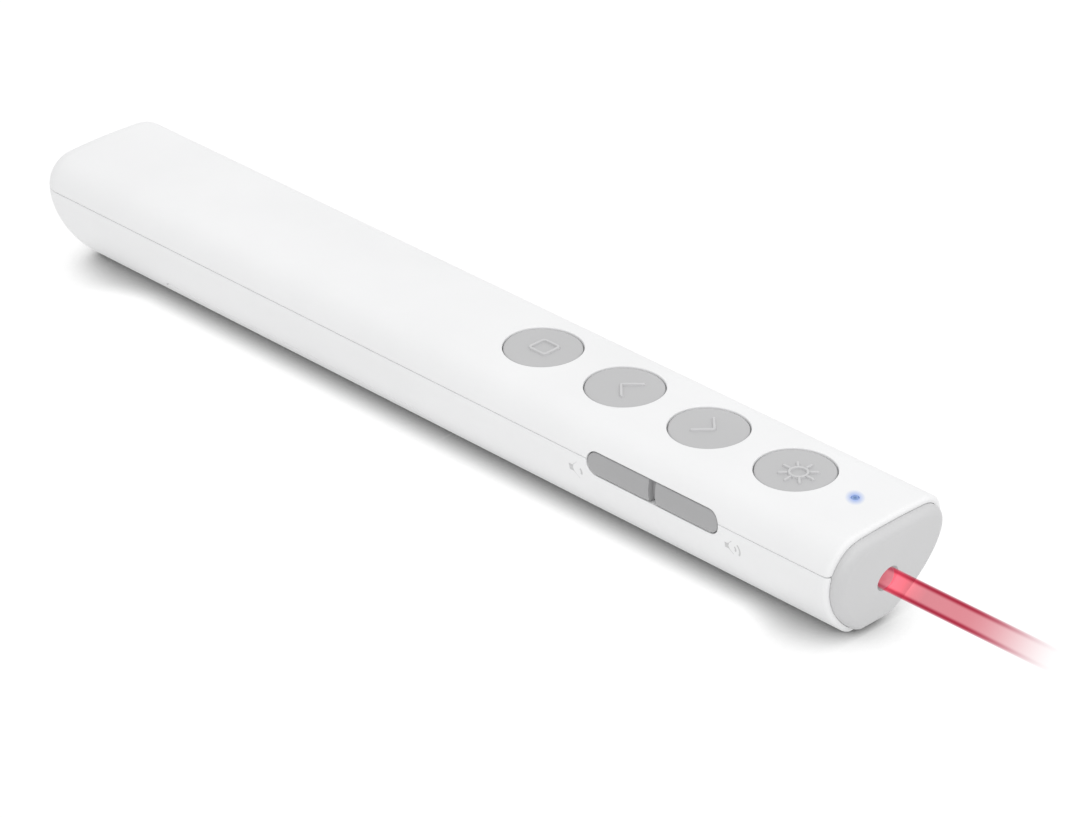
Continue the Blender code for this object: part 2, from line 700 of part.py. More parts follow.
def make_nose_cap(parts, cutters, finish):
    """The domed cap, with a hollow plug that holds the two shells together."""
    back = PLUG_BACK_X
    front = PARTING_X + FIT_GAP
    plug = full_outline(WALL + FIT_GAP)
    rings = [slanted_ring(plug, back), slanted_ring(plug, front)]
    for angle in end_angles():
        outline = full_outline(CAP_INSET + CAP_EDGE * (1.0 - math.cos(angle)))
        rings.append(slanted_ring(outline, front + (CAP_DOME - FIT_GAP) * math.sin(angle)))
    cap = loft("nose_cap", rings, parts)
    pocket = full_outline(WALL + FIT_GAP + PLUG_WALL)
    ends = (back - OVERRUN, PARTING_X - PLUG_WEB)
    combine(cap, loft("cap_pocket", [slanted_ring(pocket, x) for x in ends], cutters))
    z = LASER_HEIGHT
    bore = BARREL_RADIUS + FIT_GAP
    rear = (BOARD_FRONT + FIT_GAP, 0.0, z)
    web = (PARTING_X, 0.0, z)
    sleeve = rod("cap_sleeve", rear, web, bore + SLEEVE_WALL, ROUND_STEPS, cutters)
    combine(cap, sleeve, "UNION")
    start = (rear[0] - OVERRUN, 0.0, z)
    seat = (BARREL_FRONT + FIT_GAP, 0.0, z)
    combine(cap, rod("cap_seat", start, seat, bore, ROUND_STEPS, cutters))
    past = (NOSE_X + OVERRUN, 0.0, z)
    combine(cap, rod("aperture", start, past, APERTURE_RADIUS, ROUND_STEPS, cutters))
    dressed(cap, finish)


def make_battery_cover(parts, cutters, core, finish):
    """The curved cover under the cell, hinged on a tongue at its nose end."""
    outline = lower_outline(COVER_HEIGHT - FIT_GAP)
    nose_end = OPENING_NOSE - FIT_GAP
    ends = (OPENING_TAIL + FIT_GAP, nose_end)
    cover = loft("battery_cover", [upright_ring(outline, x) for x in ends], parts)
    combine(cover, core)
    half = TONGUE_WIDTH / 2
    root = nose_end - TONGUE_ROOT
    bottom = WALL + FIT_GAP
    top = bottom + TONGUE_THICKNESS
    riser = box("cover_riser", (root, -half, WALL / 2), (nose_end, half, top), cutters)
    combine(cover, riser, "UNION")
    reach = OPENING_NOSE + TONGUE_REACH
    tongue = box("cover_tongue", (root, -half, bottom), (reach, half, top), cutters)
    combine(cover, tongue, "UNION")
    move_origin(cover, (HINGE_X, 0.0, HINGE_HEIGHT))
    dressed(cover, finish)


def move_origin(piece, place):
    """Puts a piece's origin on its joint without moving its shape."""
    place = Vector(place)
    for vertex in piece.data.vertices:
        vertex.co += piece.location - place
    piece.location = place


def make_keys(parts, finish):
    """The four round keys, each with a flange that keeps it in and a stem on its switch."""
    flange = KEY_HOLE_RADIUS + KEY_FLANGE
    profile = [
        (0.0, 0.0),
        (KEY_RADIUS - KEY_EDGE, 0.0),
        (KEY_RADIUS, -KEY_EDGE),
        (KEY_RADIUS, FLANGE_TOP - KEY_TOP),
        (flange, FLANGE_TOP - KEY_TOP),
        (flange, FLANGE_BOTTOM - KEY_TOP),
        (KEY_STEM_RADIUS, FLANGE_BOTTOM - KEY_TOP),
        (KEY_STEM_RADIUS, STEM_BOTTOM - KEY_TOP),
        (0.0, STEM_BOTTOM - KEY_TOP),
    ]
    for name, x in key_places():
        key = turned(name + "_button", profile, (x, 0.0, KEY_TOP), KEY_STEPS, parts)
        dressed(key, finish)


def make_key_switches(parts, cutters, body_finish, plunger_finish):
    """A push switch on the board under each key, and its plunger."""
    size = (SWITCH_SIDE, SWITCH_SIDE, SWITCH_HEIGHT)
    foot = SWITCH_TOP - PLUNGER_SUNK
    floor = foot - KEY_TRAVEL - PIVOT_GAP
    mouth = SWITCH_TOP + OVERRUN
    bore = PLUNGER_RADIUS + BORE_GAP
    head = STEM_BOTTOM - FIT_GAP
    for name, x in key_places():
        body = block(name + "_switch", x, 0.0, BOARD_TOP + SOLDER_GAP, size, parts)
        combine(body, upright("well_" + name, x, 0.0, floor, mouth, bore, SMALL_STEPS, cutters))
        dressed(body, body_finish)
        title = name + "_plunger"
        plunger = upright(title, x, 0.0, foot, head, PLUNGER_RADIUS, SMALL_STEPS, parts)
        dressed(plunger, plunger_finish)


def side_switch_places():
    return [
        ("rear_side", ROCKER_X - PUSHER_SPREAD),
        ("front_side", ROCKER_X + PUSHER_SPREAD),
    ]


def make_side_switches(parts, cutters, body_finish, plunger_finish):
    """The two switches that the rocker works, with their plungers towards the side."""
    bottom = BOARD_TOP + SOLDER_GAP
    z = bottom + SIDE_SWITCH_SIZE[2] / 2
    tip_y = PUSHER_BACK_Y + FIT_GAP
    face_y = tip_y + SIDE_PLUNGER_PROUD
    inner_y = face_y + SIDE_PLUNGER_SUNK
    floor_y = inner_y + PUSHER_TRAVEL + PIVOT_GAP
    middle_y = face_y + SIDE_SWITCH_SIZE[1] / 2
    bore = SIDE_PLUNGER_RADIUS + PIVOT_GAP
    for name, x in side_switch_places():
        body = block(name + "_switch", x, middle_y, bottom, SIDE_SWITCH_SIZE, parts)
        mouth = (x, face_y - OVERRUN, z)
        floor = (x, floor_y, z)
        combine(body, rod("well_" + name, mouth, floor, bore, SMALL_STEPS, cutters))
        dressed(body, body_finish)
        ends = [(x, tip_y, z), (x, inner_y, z)]
        plunger = rod(name + "_plunger", *ends, SIDE_PLUNGER_RADIUS, SMALL_STEPS, parts)
        dressed(plunger, plunger_finish)


def make_rocker(parts, cutters, finish, pin_finish):
    """The side rocker, which tilts on an upright pin, grooved between its two halves."""
    outline = rocker_outline(0.0)
    rocker = side_plate("side_rocker", outline, ROCKER_FACE_Y, ROCKER_BACK_Y, parts)
    move_origin(rocker, (ROCKER_X, PIVOT_Y, ROCKER_Z))
    edge = rocker.modifiers.new("edge", "BEVEL")
    edge.width = ROCKER_EDGE
    edge.segments = 1
    edge.limit_method = "ANGLE"
    edge.angle_limit = math.radians(RIM_DEGREES)
    half = (ROCKER_PUSHER_WIDTH / 2, ROCKER_PUSHER_HEIGHT / 2)
    root_y = ROCKER_BACK_Y - ROCKER_THICKNESS / 2
    for name, x in side_switch_places():
        low = (x - half[0], root_y, ROCKER_Z - half[1])
        high = (x + half[0], PUSHER_BACK_Y, ROCKER_Z + half[1])
        combine(rocker, box("pusher_" + name, low, high, cutters), "UNION")
    x = ROCKER_X
    y = PIVOT_Y
    bore = PIVOT_RADIUS + PIVOT_GAP
    wall = bore + PIVOT_BOSS_WALL
    foot = PIVOT_FOOT
    top = PIVOT_BOSS_TOP
    boss = upright("rocker_boss", x, y, foot, top, wall, ROUND_STEPS, cutters)
    combine(rocker, boss, "UNION")
    low = ROCKER_Z - ROCKER_HEIGHT
    high = ROCKER_Z + ROCKER_HEIGHT
    radius = ROCKER_GROOVE
    face_y = ROCKER_FACE_Y
    groove = upright("rocker_groove", x, face_y, low, high, radius, CORNER_STEPS, cutters)
    combine(rocker, groove)
    combine(rocker, upright("rocker_bore", x, y, low, high, bore, SMALL_STEPS, cutters))
    dressed(rocker, finish)
    head = top + FIT_GAP + PIVOT_SUNK
    pin = upright("rocker_pivot_pin", x, y, foot, head, PIVOT_RADIUS, SMALL_STEPS, parts)
    dressed(pin, pin_finish)


def make_light(parts, pipe_finish, led_finish):
    """The clear pin that shows the indicator light, and the light under it."""
    led_bottom = BOARD_TOP + SOLDER_GAP
    foot = led_bottom + LED_SIZE[2] + FIT_GAP
    flange = LIGHT_RADIUS + LIGHT_FLANGE
    flange_bottom = FLANGE_TOP - LIGHT_FLANGE_THICKNESS
    profile = [
        (0.0, HEIGHT),
        (LIGHT_RADIUS, HEIGHT),
        (LIGHT_RADIUS, FLANGE_TOP),
        (flange, FLANGE_TOP),
        (flange, flange_bottom),
        (LIGHT_RADIUS, flange_bottom),
        (LIGHT_RADIUS, foot),
        (0.0, foot),
    ]
    place = (LIGHT_X, 0.0, 0.0)
    dressed(turned("indicator_light_pipe", profile, place, SMALL_STEPS, parts), pipe_finish)
    dressed(block("indicator_led", LIGHT_X, 0.0, led_bottom, LED_SIZE, parts), led_finish)


def make_board(parts, cutters, finish):
    low = (BOARD_REAR, -BOARD_WIDTH / 2, BOARD_BOTTOM)
    high = (BOARD_FRONT, BOARD_WIDTH / 2, BOARD_TOP)
    board = box("circuit_board", low, high, parts)
    low = BOARD_BOTTOM - OVERRUN
    high = BOARD_TOP + OVERRUN
    bore = SCREW_RADIUS + BORE_GAP
    for name, (x, y) in board_screw_places().items():
        combine(board, upright("clear_" + name, x, y, low, high, bore, SMALL_STEPS, cutters))
    dressed(board, finish)


def make_board_parts(parts, finishes):
    """The chips and coils in a row under the board."""
    row = (
        ("power_inductor", INDUCTOR_SIZE, "ferrite"),
        ("storage_capacitor", CAPACITOR_SIZE, "ochre"),
        ("control_chip", CONTROL_CHIP_SIZE, "chip"),
        ("crystal", CRYSTAL_SIZE, "steel"),
        ("radio_chip", RADIO_CHIP_SIZE, "chip"),
        ("laser_driver_chip", DRIVER_CHIP_SIZE, "chip"),
    )
    for share, (name, size, slot) in zip(CHIP_PLACE_SHARES, row):
        x = REAR_KEY_X + share * KEY_ROW
        bottom = BOARD_BOTTOM - SOLDER_GAP - size[2]
        dressed(block(name, x, 0.0, bottom, size, parts), finishes[slot])


def make_laser(parts, finishes):
    """The brass barrel with its lens, the diode behind it and the diode's two leads."""
    place = (BARREL_FRONT, 0.0, LASER_HEIGHT)
    edge = BARREL_RADIUS - BARREL_CHAMFER
    profile = [
        (BARREL_BORE, 0.0),
        (edge, 0.0),
        (BARREL_RADIUS, -BARREL_CHAMFER),
        (BARREL_RADIUS, -BARREL_LENGTH + BARREL_CHAMFER),
        (edge, -BARREL_LENGTH),
        (BARREL_BORE, -BARREL_LENGTH),
    ]
    lie = {"steps": ROUND_STEPS, "group": parts, "along_x": True}
    barrel = turned("laser_barrel", profile, place, closed=True, **lie)
    dressed(barrel, finishes["brass"])
    front = -LENS_BEHIND_NOSE
    part_way, rim = (front - share * LENS_THICKNESS for share in LENS_FALL_SHARES)
    profile = [
        (0.0, front),
        (LENS_RADIUS / 2, part_way),
        (LENS_RADIUS, rim),
        (LENS_RADIUS, front - LENS_THICKNESS),
        (0.0, front - LENS_THICKNESS),
    ]
    dressed(turned("laser_lens", profile, place, **lie), finishes["lens"])
    seat = -BARREL_LENGTH - FIT_GAP
    tip = seat + DIODE_LENGTH
    back = seat - DIODE_FLANGE_THICKNESS
    profile = [
        (0.0, tip),
        (DIODE_RADIUS, tip),
        (DIODE_RADIUS, seat),
        (DIODE_FLANGE_RADIUS, seat),
        (DIODE_FLANGE_RADIUS, back),
        (0.0, back),
    ]
    dressed(turned("laser_diode", profile, place, **lie), finishes["gold"])
    start_x = BARREL_FRONT + back - SOLDER_GAP
    turn_x = start_x - LASER_LEAD_RUN
    end_z = BOARD_BOTTOM - FIT_GAP
    for name, side in (("laser_lead_left", 1), ("laser_lead_right", -1)):
        y = side * LASER_LEAD_SPREAD
        stops = [
            (start_x, y, LASER_HEIGHT),
            ((start_x + turn_x) / 2, y, LASER_HEIGHT),
            (turn_x, y, (LASER_HEIGHT + end_z) / 2),
            (turn_x, y, end_z),
        ]
        route = smooth_route(stops, CORNER_STEPS)
        dressed(wire(name, route, LASER_LEAD_RADIUS, parts), finishes["tin"])


def make_contacts(parts, cutters, finish):
    """The plate behind the coil spring, and the dimpled plate at the other end."""
    half = CONTACT_WIDTH / 2
    bottom = CONTACT_TOP - CONTACT_HEIGHT
    plates = []
    for name, x in (("negative", NEGATIVE_PLATE_X), ("positive", POSITIVE_PLATE_X)):
        low = (x, -half, bottom)
        high = (x + CONTACT_THICKNESS, half, CONTACT_TOP)
        plates.append(box(f"battery_{name}_contact", low, high, parts))
    tip = (POSITIVE_PLATE_X - CONTACT_DIMPLE, 0.0, CELL_Z)
    root = (POSITIVE_PLATE_X + CONTACT_THICKNESS / 2, 0.0, CELL_Z)
    dimple = rod("dimple", tip, root, CONTACT_DIMPLE_RADIUS, SMALL_STEPS, cutters)
    combine(plates[-1], dimple, "UNION")
    for plate in plates:
        dressed(plate, finish)


def make_cell(parts, finish):
    shoulder = -CELL_NUB_LENGTH
    profile = [
        (0.0, 0.0),
        (CELL_NUB_RADIUS, 0.0),
        (CELL_NUB_RADIUS, shoulder),
        (CELL_RADIUS - CELL_EDGE, shoulder),
        (CELL_RADIUS, shoulder - CELL_EDGE),
        (CELL_RADIUS, -CELL_LENGTH + CELL_EDGE),
        (CELL_RADIUS - CELL_EDGE, -CELL_LENGTH),
        (0.0, -CELL_LENGTH),
    ]
    place = (CELL_NOSE, 0.0, CELL_Z)
    dressed(turned("battery_cell", profile, place, ROUND_STEPS, parts, along_x=True), finish)


def make_spring(parts, finish):
    """The coil spring, squeezed as it is behind a cell."""
    count = int(SPRING_TURNS * COIL_STEPS)
    first_x = SPRING_TAIL + SPRING_WIRE
    last_x = SPRING_TAIL + SPRING_LENGTH - SPRING_WIRE
    coil = []
    for step in range(count + 1):
        share = step / count
        angle = math.radians(360.0) * step / COIL_STEPS
        radius = SPRING_WIDE_RADIUS + share * (SPRING_NARROW_RADIUS - SPRING_WIDE_RADIUS)
        x = first_x + share * (last_x - first_x)
        coil.append((x, radius * math.cos(angle), CELL_Z + radius * math.sin(angle)))
    dressed(wire("battery_spring", coil, SPRING_WIRE, parts), finish)


def make_battery_leads(parts, negative_finish, positive_finish):
    """The two wires from the contacts over the bulkhead to the board."""
    aside = CONTACT_WIDTH / 4
    outer = CONTACT_WIDTH / 2
    side = BOARD_WIDTH / 2 - CELL_LEAD_RADIUS
    start_z = CONTACT_TOP + FIT_GAP
    lead_z = CONTACT_TOP + LEAD_RISE
    end_z = BOARD_TOP + FIT_GAP + CELL_LEAD_RADIUS
    land_x = BOARD_REAR + FIT_GAP + CELL_LEAD_RADIUS
    end_x = land_x + LEAD_END_RUN
    near = NEGATIVE_PLATE_X + CONTACT_THICKNESS / 2
    stops = [
        (near, aside, start_z),
        (near + LEAD_RISE, outer, lead_z),
        (near + LEAD_RUN_OUT, side, lead_z),
        ((near + BAY_NOSE) / 2, side, lead_z),
        (BAY_NOSE, side, lead_z),
        (land_x, outer, lead_z),
        (end_x, outer, end_z),
    ]
    route = smooth_route(stops, CORNER_STEPS)
    dressed(wire("battery_lead_negative", route, CELL_LEAD_RADIUS, parts), negative_finish)
    near = POSITIVE_PLATE_X + CONTACT_THICKNESS / 2
    stops = [
        (near, -aside, start_z),
        (near + LEAD_RISE, -aside, lead_z),
        (land_x, -outer, lead_z),
        (end_x, -outer, end_z),
    ]
    route = smooth_route(stops, CORNER_STEPS)
    dressed(wire("battery_lead_positive", route, CELL_LEAD_RADIUS, parts), positive_finish)


def make_screw(name, x, y, seat_z, length, parts, cutters, finish):
    """A pan head screw that points up, with its head under the seat."""
    head_top = seat_z - FIT_GAP
    profile = [
        (0.0, length),
        (SCREW_RADIUS, length - SCREW_RADIUS),
        (SCREW_RADIUS, 0.0),
        (SCREW_HEAD_RADIUS, 0.0),
        (SCREW_HEAD_RADIUS, -SCREW_HEAD_HEIGHT / 2),
        (SCREW_CROWN_RADIUS, -SCREW_HEAD_HEIGHT),
        (0.0, -SCREW_HEAD_HEIGHT),
    ]
    screw = turned(name, profile, (x, y, head_top), SMALL_STEPS, parts)
    low = head_top - SCREW_HEAD_HEIGHT - OVERRUN
    high = head_top - SCREW_HEAD_HEIGHT + SCREW_RECESS
    radius = SCREW_RECESS_RADIUS
    combine(screw, upright("recess_" + name, x, y, low, high, radius, CORNER_STEPS, cutters))
    dressed(screw, finish)


def make_screws(parts, cutters, finish):
    shared = (parts, cutters, finish)
    for name, (x, y) in board_screw_places().items():
        make_screw(name, x, y, BOARD_BOTTOM, BOARD_SCREW_LENGTH, *shared)
    make_screw("case_screw", CASE_SCREW_X, 0.0, CASE_SCREW_SEAT, CASE_SCREW_LENGTH, *shared)


def make_finishes():
    return {
        "white": material("white_plastic", (0.86, 0.86, 0.87), 0.42),
        "grey": material("grey_plastic", (0.58, 0.58, 0.59), 0.5),
        "rocker": material("rocker_plastic", (0.40, 0.40, 0.41), 0.5),
        "clear": material("clear_blue_plastic", (0.25, 0.45, 0.95), 0.15),
        "board": material("green_laminate", (0.03, 0.22, 0.09), 0.45),
        "switch": material("black_plastic", (0.04, 0.04, 0.04), 0.5),
        "plunger": material("white_nylon", (0.75, 0.73, 0.68), 0.5),
        "chip": material("black_epoxy", (0.03, 0.03, 0.035), 0.4),
        "ferrite": material("dark_ferrite", (0.07, 0.07, 0.07), 0.7),
        "ochre": material("ochre_epoxy", (0.62, 0.42, 0.10), 0.5),
        "led": material("pale_epoxy", (0.85, 0.85, 0.78), 0.3),
        "steel": material("bright_steel", (0.62, 0.62, 0.64), 0.3, 1.0),
        "brass": material("turned_brass", (0.78, 0.60, 0.28), 0.3, 1.0),
        "gold": material("gilded_metal", (0.90, 0.70, 0.35), 0.25, 1.0),
        "tin": material("tinned_metal", (0.70, 0.70, 0.70), 0.35, 1.0),
        "lens": material("clear_glass", (0.85, 0.90, 0.95), 0.05),
        "cell": material("cell_sleeve", (0.10, 0.12, 0.16), 0.35),
        "black_wire": material("black_insulation", (0.02, 0.02, 0.02), 0.5),
        "red_wire": material("red_insulation", (0.55, 0.03, 0.03), 0.5),
    }


def main():
    clear_scene()
    parts = new_group("wireless_presenter")
    cutters = new_group("cutters")
    cutters.hide_render = True
    finishes = make_finishes()
    core = hollow_core("case_hollow", WALL, cutters)
    rib_core = hollow_core("rib_limit", WALL / 2, cutters)
    slot = rocker_slot(cutters)
    make_top_shell(parts, cutters, core, rib_core, slot, finishes["white"])
    make_bottom_shell(parts, cutters, core, rib_core, slot, finishes["white"])
    make_nose_cap(parts, cutters, finishes["grey"])
    make_battery_cover(parts, cutters, core, finishes["white"])
    make_keys(parts, finishes["grey"])
    make_key_switches(parts, cutters, finishes["switch"], finishes["plunger"])
    make_side_switches(parts, cutters, finishes["switch"], finishes["plunger"])
    make_rocker(parts, cutters, finishes["rocker"], finishes["steel"])
    make_light(parts, finishes["clear"], finishes["led"])
    make_board(parts, cutters, finishes["board"])
    make_board_parts(parts, finishes)
    make_laser(parts, finishes)
    make_contacts(parts, cutters, finishes["tin"])
    make_cell(parts, finishes["cell"])
    make_spring(parts, finishes["steel"])
    make_battery_leads(parts, finishes["black_wire"], finishes["red_wire"])
    make_screws(parts, cutters, finishes["steel"])


main()
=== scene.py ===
"""Looks of the slim white presenter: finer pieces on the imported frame, finishes and a stage."""

import json
import math

import bmesh
import bpy
from mathutils import Matrix, Vector


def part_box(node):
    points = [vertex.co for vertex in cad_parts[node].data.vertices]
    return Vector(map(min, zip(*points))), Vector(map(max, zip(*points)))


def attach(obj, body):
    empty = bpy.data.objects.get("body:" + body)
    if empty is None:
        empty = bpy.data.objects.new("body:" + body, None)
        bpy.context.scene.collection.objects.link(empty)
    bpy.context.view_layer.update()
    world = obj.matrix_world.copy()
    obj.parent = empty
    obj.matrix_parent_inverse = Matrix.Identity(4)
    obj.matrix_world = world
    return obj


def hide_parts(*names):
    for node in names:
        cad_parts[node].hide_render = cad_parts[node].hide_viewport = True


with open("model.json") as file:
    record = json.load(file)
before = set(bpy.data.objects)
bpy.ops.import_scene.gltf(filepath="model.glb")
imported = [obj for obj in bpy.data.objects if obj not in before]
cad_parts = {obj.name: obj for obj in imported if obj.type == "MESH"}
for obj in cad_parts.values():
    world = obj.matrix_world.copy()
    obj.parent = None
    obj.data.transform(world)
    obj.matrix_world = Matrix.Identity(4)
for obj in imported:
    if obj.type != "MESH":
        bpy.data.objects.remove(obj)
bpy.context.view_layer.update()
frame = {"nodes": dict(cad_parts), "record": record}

bl_info = {
    "name": "Slim presenter looks",
    "version": (1, 0, 0),
    "blender": (4, 5, 0),
    "location": "3D View > Sidebar > Presenter",
    "description": "Builds the presenter's visible pieces, finishes and stage on its frame",
    "category": "Object",
}

# Case section, as in the frame's solids
WIDTH = 0.0210
HEIGHT = 0.0174
SEAM = 0.0123
MIDDLE_Z = HEIGHT / 2
TOP_FLAT_HALF = 0.0063
CROWN = 0.0002
BOTTOM_FLAT_HALF = 0.0028
WALL = 0.0015
UPPER_HANDLES = (0.72, 0.41)
LOWER_HANDLES = (0.53, 0.10)
NOSE_LEAN = 0.215
TAIL_X = -0.0757
TAIL_ROUND = 0.0037
TAIL_SHARES = (0.33, 0.80)
# Rim of each half: width of its outer land, height of its step
UPPER_STEP = (0.00075, 0.0008)
LOWER_STEP = (0.00085, 0.00065)
RIM_ANGLES = (30.0, 60.0, 90.0)
# Where rings of points lie along the case: back from the parting line, about the slot, others
NOSE_STATIONS = (0.0040, 0.0012)
SLOT_STATIONS = (-0.0128, 0.0124)
CASE_STATIONS = (-0.037, -0.002)
# Nose end: parting line, lip and cap
PARTING_X = 0.072692
FACE_X = 0.074292
LIP_ROUND = 0.0007
LIP_LIFT = 0.00004
LIP_OPENING = 0.00024
LIP_INSIDE = 0.00077
CAP_INSET = 0.00082
CAP_EDGE = 0.0013
PLUG_BACK_X = 0.070192
# Battery opening and its cover
OPENING_TAIL = -0.0537
OPENING_NOSE = 0.0003
COVER_HEIGHT = 0.0044
COVER_SOFT = 0.00012
CUT_SOFT = 0.00006
GRIP_GROOVES = 5

# Keys, rocker and the laser's opening
KEYS = {"laser": "sun", "next": "next", "previous": "previous", "black_screen": "square"}
KEY_RADIUS = 0.00525
KEY_HOLE = 0.00537
KEY_SINK = 0.00016
KEY_FLANGE = 0.00645
HOLE_FOOT = 0.0150
LIGHT_HOLE = 0.00055
ROCKER_CORNER = 0.0015
ROCKER_MIDDLE_Z = 0.01205
ROCKER_HALF_LENGTH = 0.0113
ROCKER_HALF_HEIGHT = 0.00162
ROCKER_BACK = -0.0087
ROCKER_SOFT = 0.00022
ROCKER_SINK = 0.00004
PIVOT_Y = -0.0077
PUSHER_ASIDE = 0.0075
SLOT_GAP = 0.00013
SLOT_DEEP = 0.0085
GROOVE_HALF = 0.0006
GROOVE_DEPTH = 0.0008
GROOVE_SLOPE = 0.0001
GROOVE_REACH = 2.6
GROOVE_MARKS = (-2.6, -1.15, -1.0, -0.92, -0.8, 0.0, 0.8, 0.92, 1.0, 1.15, 2.6)
APERTURE = 0.0018
APERTURE_SOFT = 0.00016
BARREL_BED = 0.00206
SCREW_BORE = 0.00095
MARK_Z = 0.0098

# Floor and its shade
FLOOR_Z = -0.00003
FLOOR_LIFT = 0.95
FLOOR_SEEN = (0.10, 0.10, 0.10)
SHADOW_RANGE = (0.08, 0.62)
FLOOR_OPEN = 0.45
SHADOW_REACH = 0.005
SHADOW_END_REACH = 0.013
SHADOW_ENDS = (0.056, 0.072)

# Symbols on the keys
SUN_SHIFT = (0.0008, -0.00035)
SUN_RING = 0.00118
SUN_RAYS = (0.00155, 0.00195, 0.00242)
CHEVRON_AHEAD = {"next": -0.00035, "previous": 0.0006}
CHEVRON_ARM = 0.00205
CHEVRON_TIP = 0.0013
CHEVRON_BEND = 0.0002
SQUARE_AHEAD = 0.0002
SQUARE_HALF = 0.00142
SQUARE_CORNER = 0.00045
RIDGE_SECTION = ((-1.0, -1.0), (-1.0, 0.0), (-0.74, 0.8), (-0.4, 1.0),
                 (0.4, 1.0), (0.74, 0.8), (1.0, 0.0), (1.0, -1.0))

# The beam and the camera
BEAM_RADIUS = 0.00156
BEAM_MIDDLE = (0.850, 0.510, 0.545)
BEAM_RIM = (0.638, 0.178, 0.247)
BEAM_GLOW = 0.46
BEAM_FADE = (0.40, 0.95)
BEAM_HOT = (0.0015, 0.0055)
BEAM_EDGE = (0.25, 0.44)
BEAM_SOFT = (0.52, 1.0)
VIEW_TARGET = (0.011313, 0.002135, 0.006041)
VIEW_DISTANCE = 0.6372
VIEW_AZIMUTH = 45.088
VIEW_ELEVATION = 29.684
VIEW_LENS = 161.32
VIEW_SENSOR = 36.0

# Inside the case
TAB_PLACES = (-0.05845, -0.0267, 0.02145)
TAB_HALF = 0.003
TAB_BLOCKS = (("hang", 0.00755, 0.00895, 0.0073, 0.0140),
              ("root", 0.00755, 0.0094, 0.0134, 0.0146))
POST_WALL = 0.0009
POST_TOP = 0.0163
CASE_POST_FOOT = 0.0071
# Post of the rocker's pin: foot, radius of its hole, wall, height it reaches
PIVOT_POST = (0.0133, 0.00055, 0.0004, 0.0154)
BAY_WALLS = ((-0.0537, -0.0529), (-0.0025, -0.0017))
SADDLE_PLACES = (0.06279, 0.06669)
SADDLE_THICK = 0.0010
BOARD_SCREWS = ("board_screw_rear", "board_screw_front_left", "board_screw_front_right")
SHANK = 0.0009
THREAD_PITCH = 0.0005
SPRING_WIRE = 0.0003
SPRING_WIDE = 0.0036
SPRING_NARROW = 0.0022
SPRING_TURNS = 3.5
CONTACT_THICKNESS = 0.0004
DIMPLE = (0.0016, 0.0004)
LEAD_RADIUS = 0.0005
LEAD_STOPS = {
    "negative": ((-52.4, 2.0, 11.95), (-51.5, 4.0, 12.55), (-47.0, 7.0, 12.55),
                 (-27.45, 7.0, 12.55), (-2.5, 7.0, 12.55), (1.8, 4.0, 12.55), (3.6, 4.0, 12.2)),
    "positive": ((-3.0, -2.0, 11.95), (-2.1, -2.0, 12.55), (1.8, -4.0, 12.55),
                 (3.6, -4.0, 12.2)),
}
# Number of pins on each side, and finish; parts with none have an end cap at both ends
CHIPS = {
    "control_chip": (7, "chip_moulding"), "radio_chip": (5, "chip_moulding"),
    "laser_driver_chip": (3, "chip_moulding"), "crystal": (0, "bright_steel"),
    "power_inductor": (0, "sintered_ferrite"), "storage_capacitor": (0, "ochre_moulding"),
}
# Each finish and the record's material that it stands for
FINISH_SLOTS = {
    "white_case": "white_shell", "grey_key": "grey_plastic", "grey_cap": "grey_plastic",
    "grey_rocker": "rocker_grey", "pale_symbol": "grey_plastic", "grey_ink": "rocker_grey",
    "clear_pin": "clear_light_pipe",
    "bright_steel": "steel", "tinned_plate": "tinned_metal", "turned_brass": "barrel_brass",
    "gilt_can": "diode_gilt", "lens_glass": "lens_glass", "cell_print": "cell_sleeve",
    "black_moulding": "switch_black", "nylon": "plunger_nylon", "chip_moulding": "chip_epoxy",
    "sintered_ferrite": "ferrite", "ochre_moulding": "capacitor_epoxy",
    "lamp_resin": "led_epoxy", "black_lead": "black_insulation", "red_lead": "red_insulation",
    "solder_mask": "circuit_laminate",
}

# How finely the pieces are made
CROWN_STEPS = 6
CURVE_STEPS = 26
TAIL_STEPS = 14
LIP_STEPS = 6
ROUND_STEPS = 64
SMALL_STEPS = 32

X_AXIS, Y_AXIS, Z_AXIS = (1, 0, 0), (0, 1, 0), (0, 0, 1)


class CaseLooks(bpy.types.PropertyGroup):
    seam_gap: bpy.props.FloatProperty(
        name="Seam gap", description="Open width of the line between the case halves",
        default=0.00006, unit="LENGTH")
    rim_round: bpy.props.FloatProperty(
        name="Rim rounding", description="Rounding along the seam of both halves",
        default=0.00018, unit="LENGTH")
    cut_round: bpy.props.FloatProperty(
        name="Hole rounding", description="Rounding round the key holes and the slot",
        default=0.00016, unit="LENGTH")
    cover_corner: bpy.props.FloatProperty(
        name="Cover corner", description="Corner radius of the battery cover seen from the side",
        default=0.0022, unit="LENGTH")
    cover_gap: bpy.props.FloatProperty(
        name="Cover gap", description="Open line around the battery cover",
        default=0.00010, unit="LENGTH")
    white: bpy.props.FloatVectorProperty(
        name="White plastic", description="Colour of the case halves and the cover",
        default=(0.885, 0.887, 0.892), size=3, subtype="COLOR", min=0.0, max=1.0)


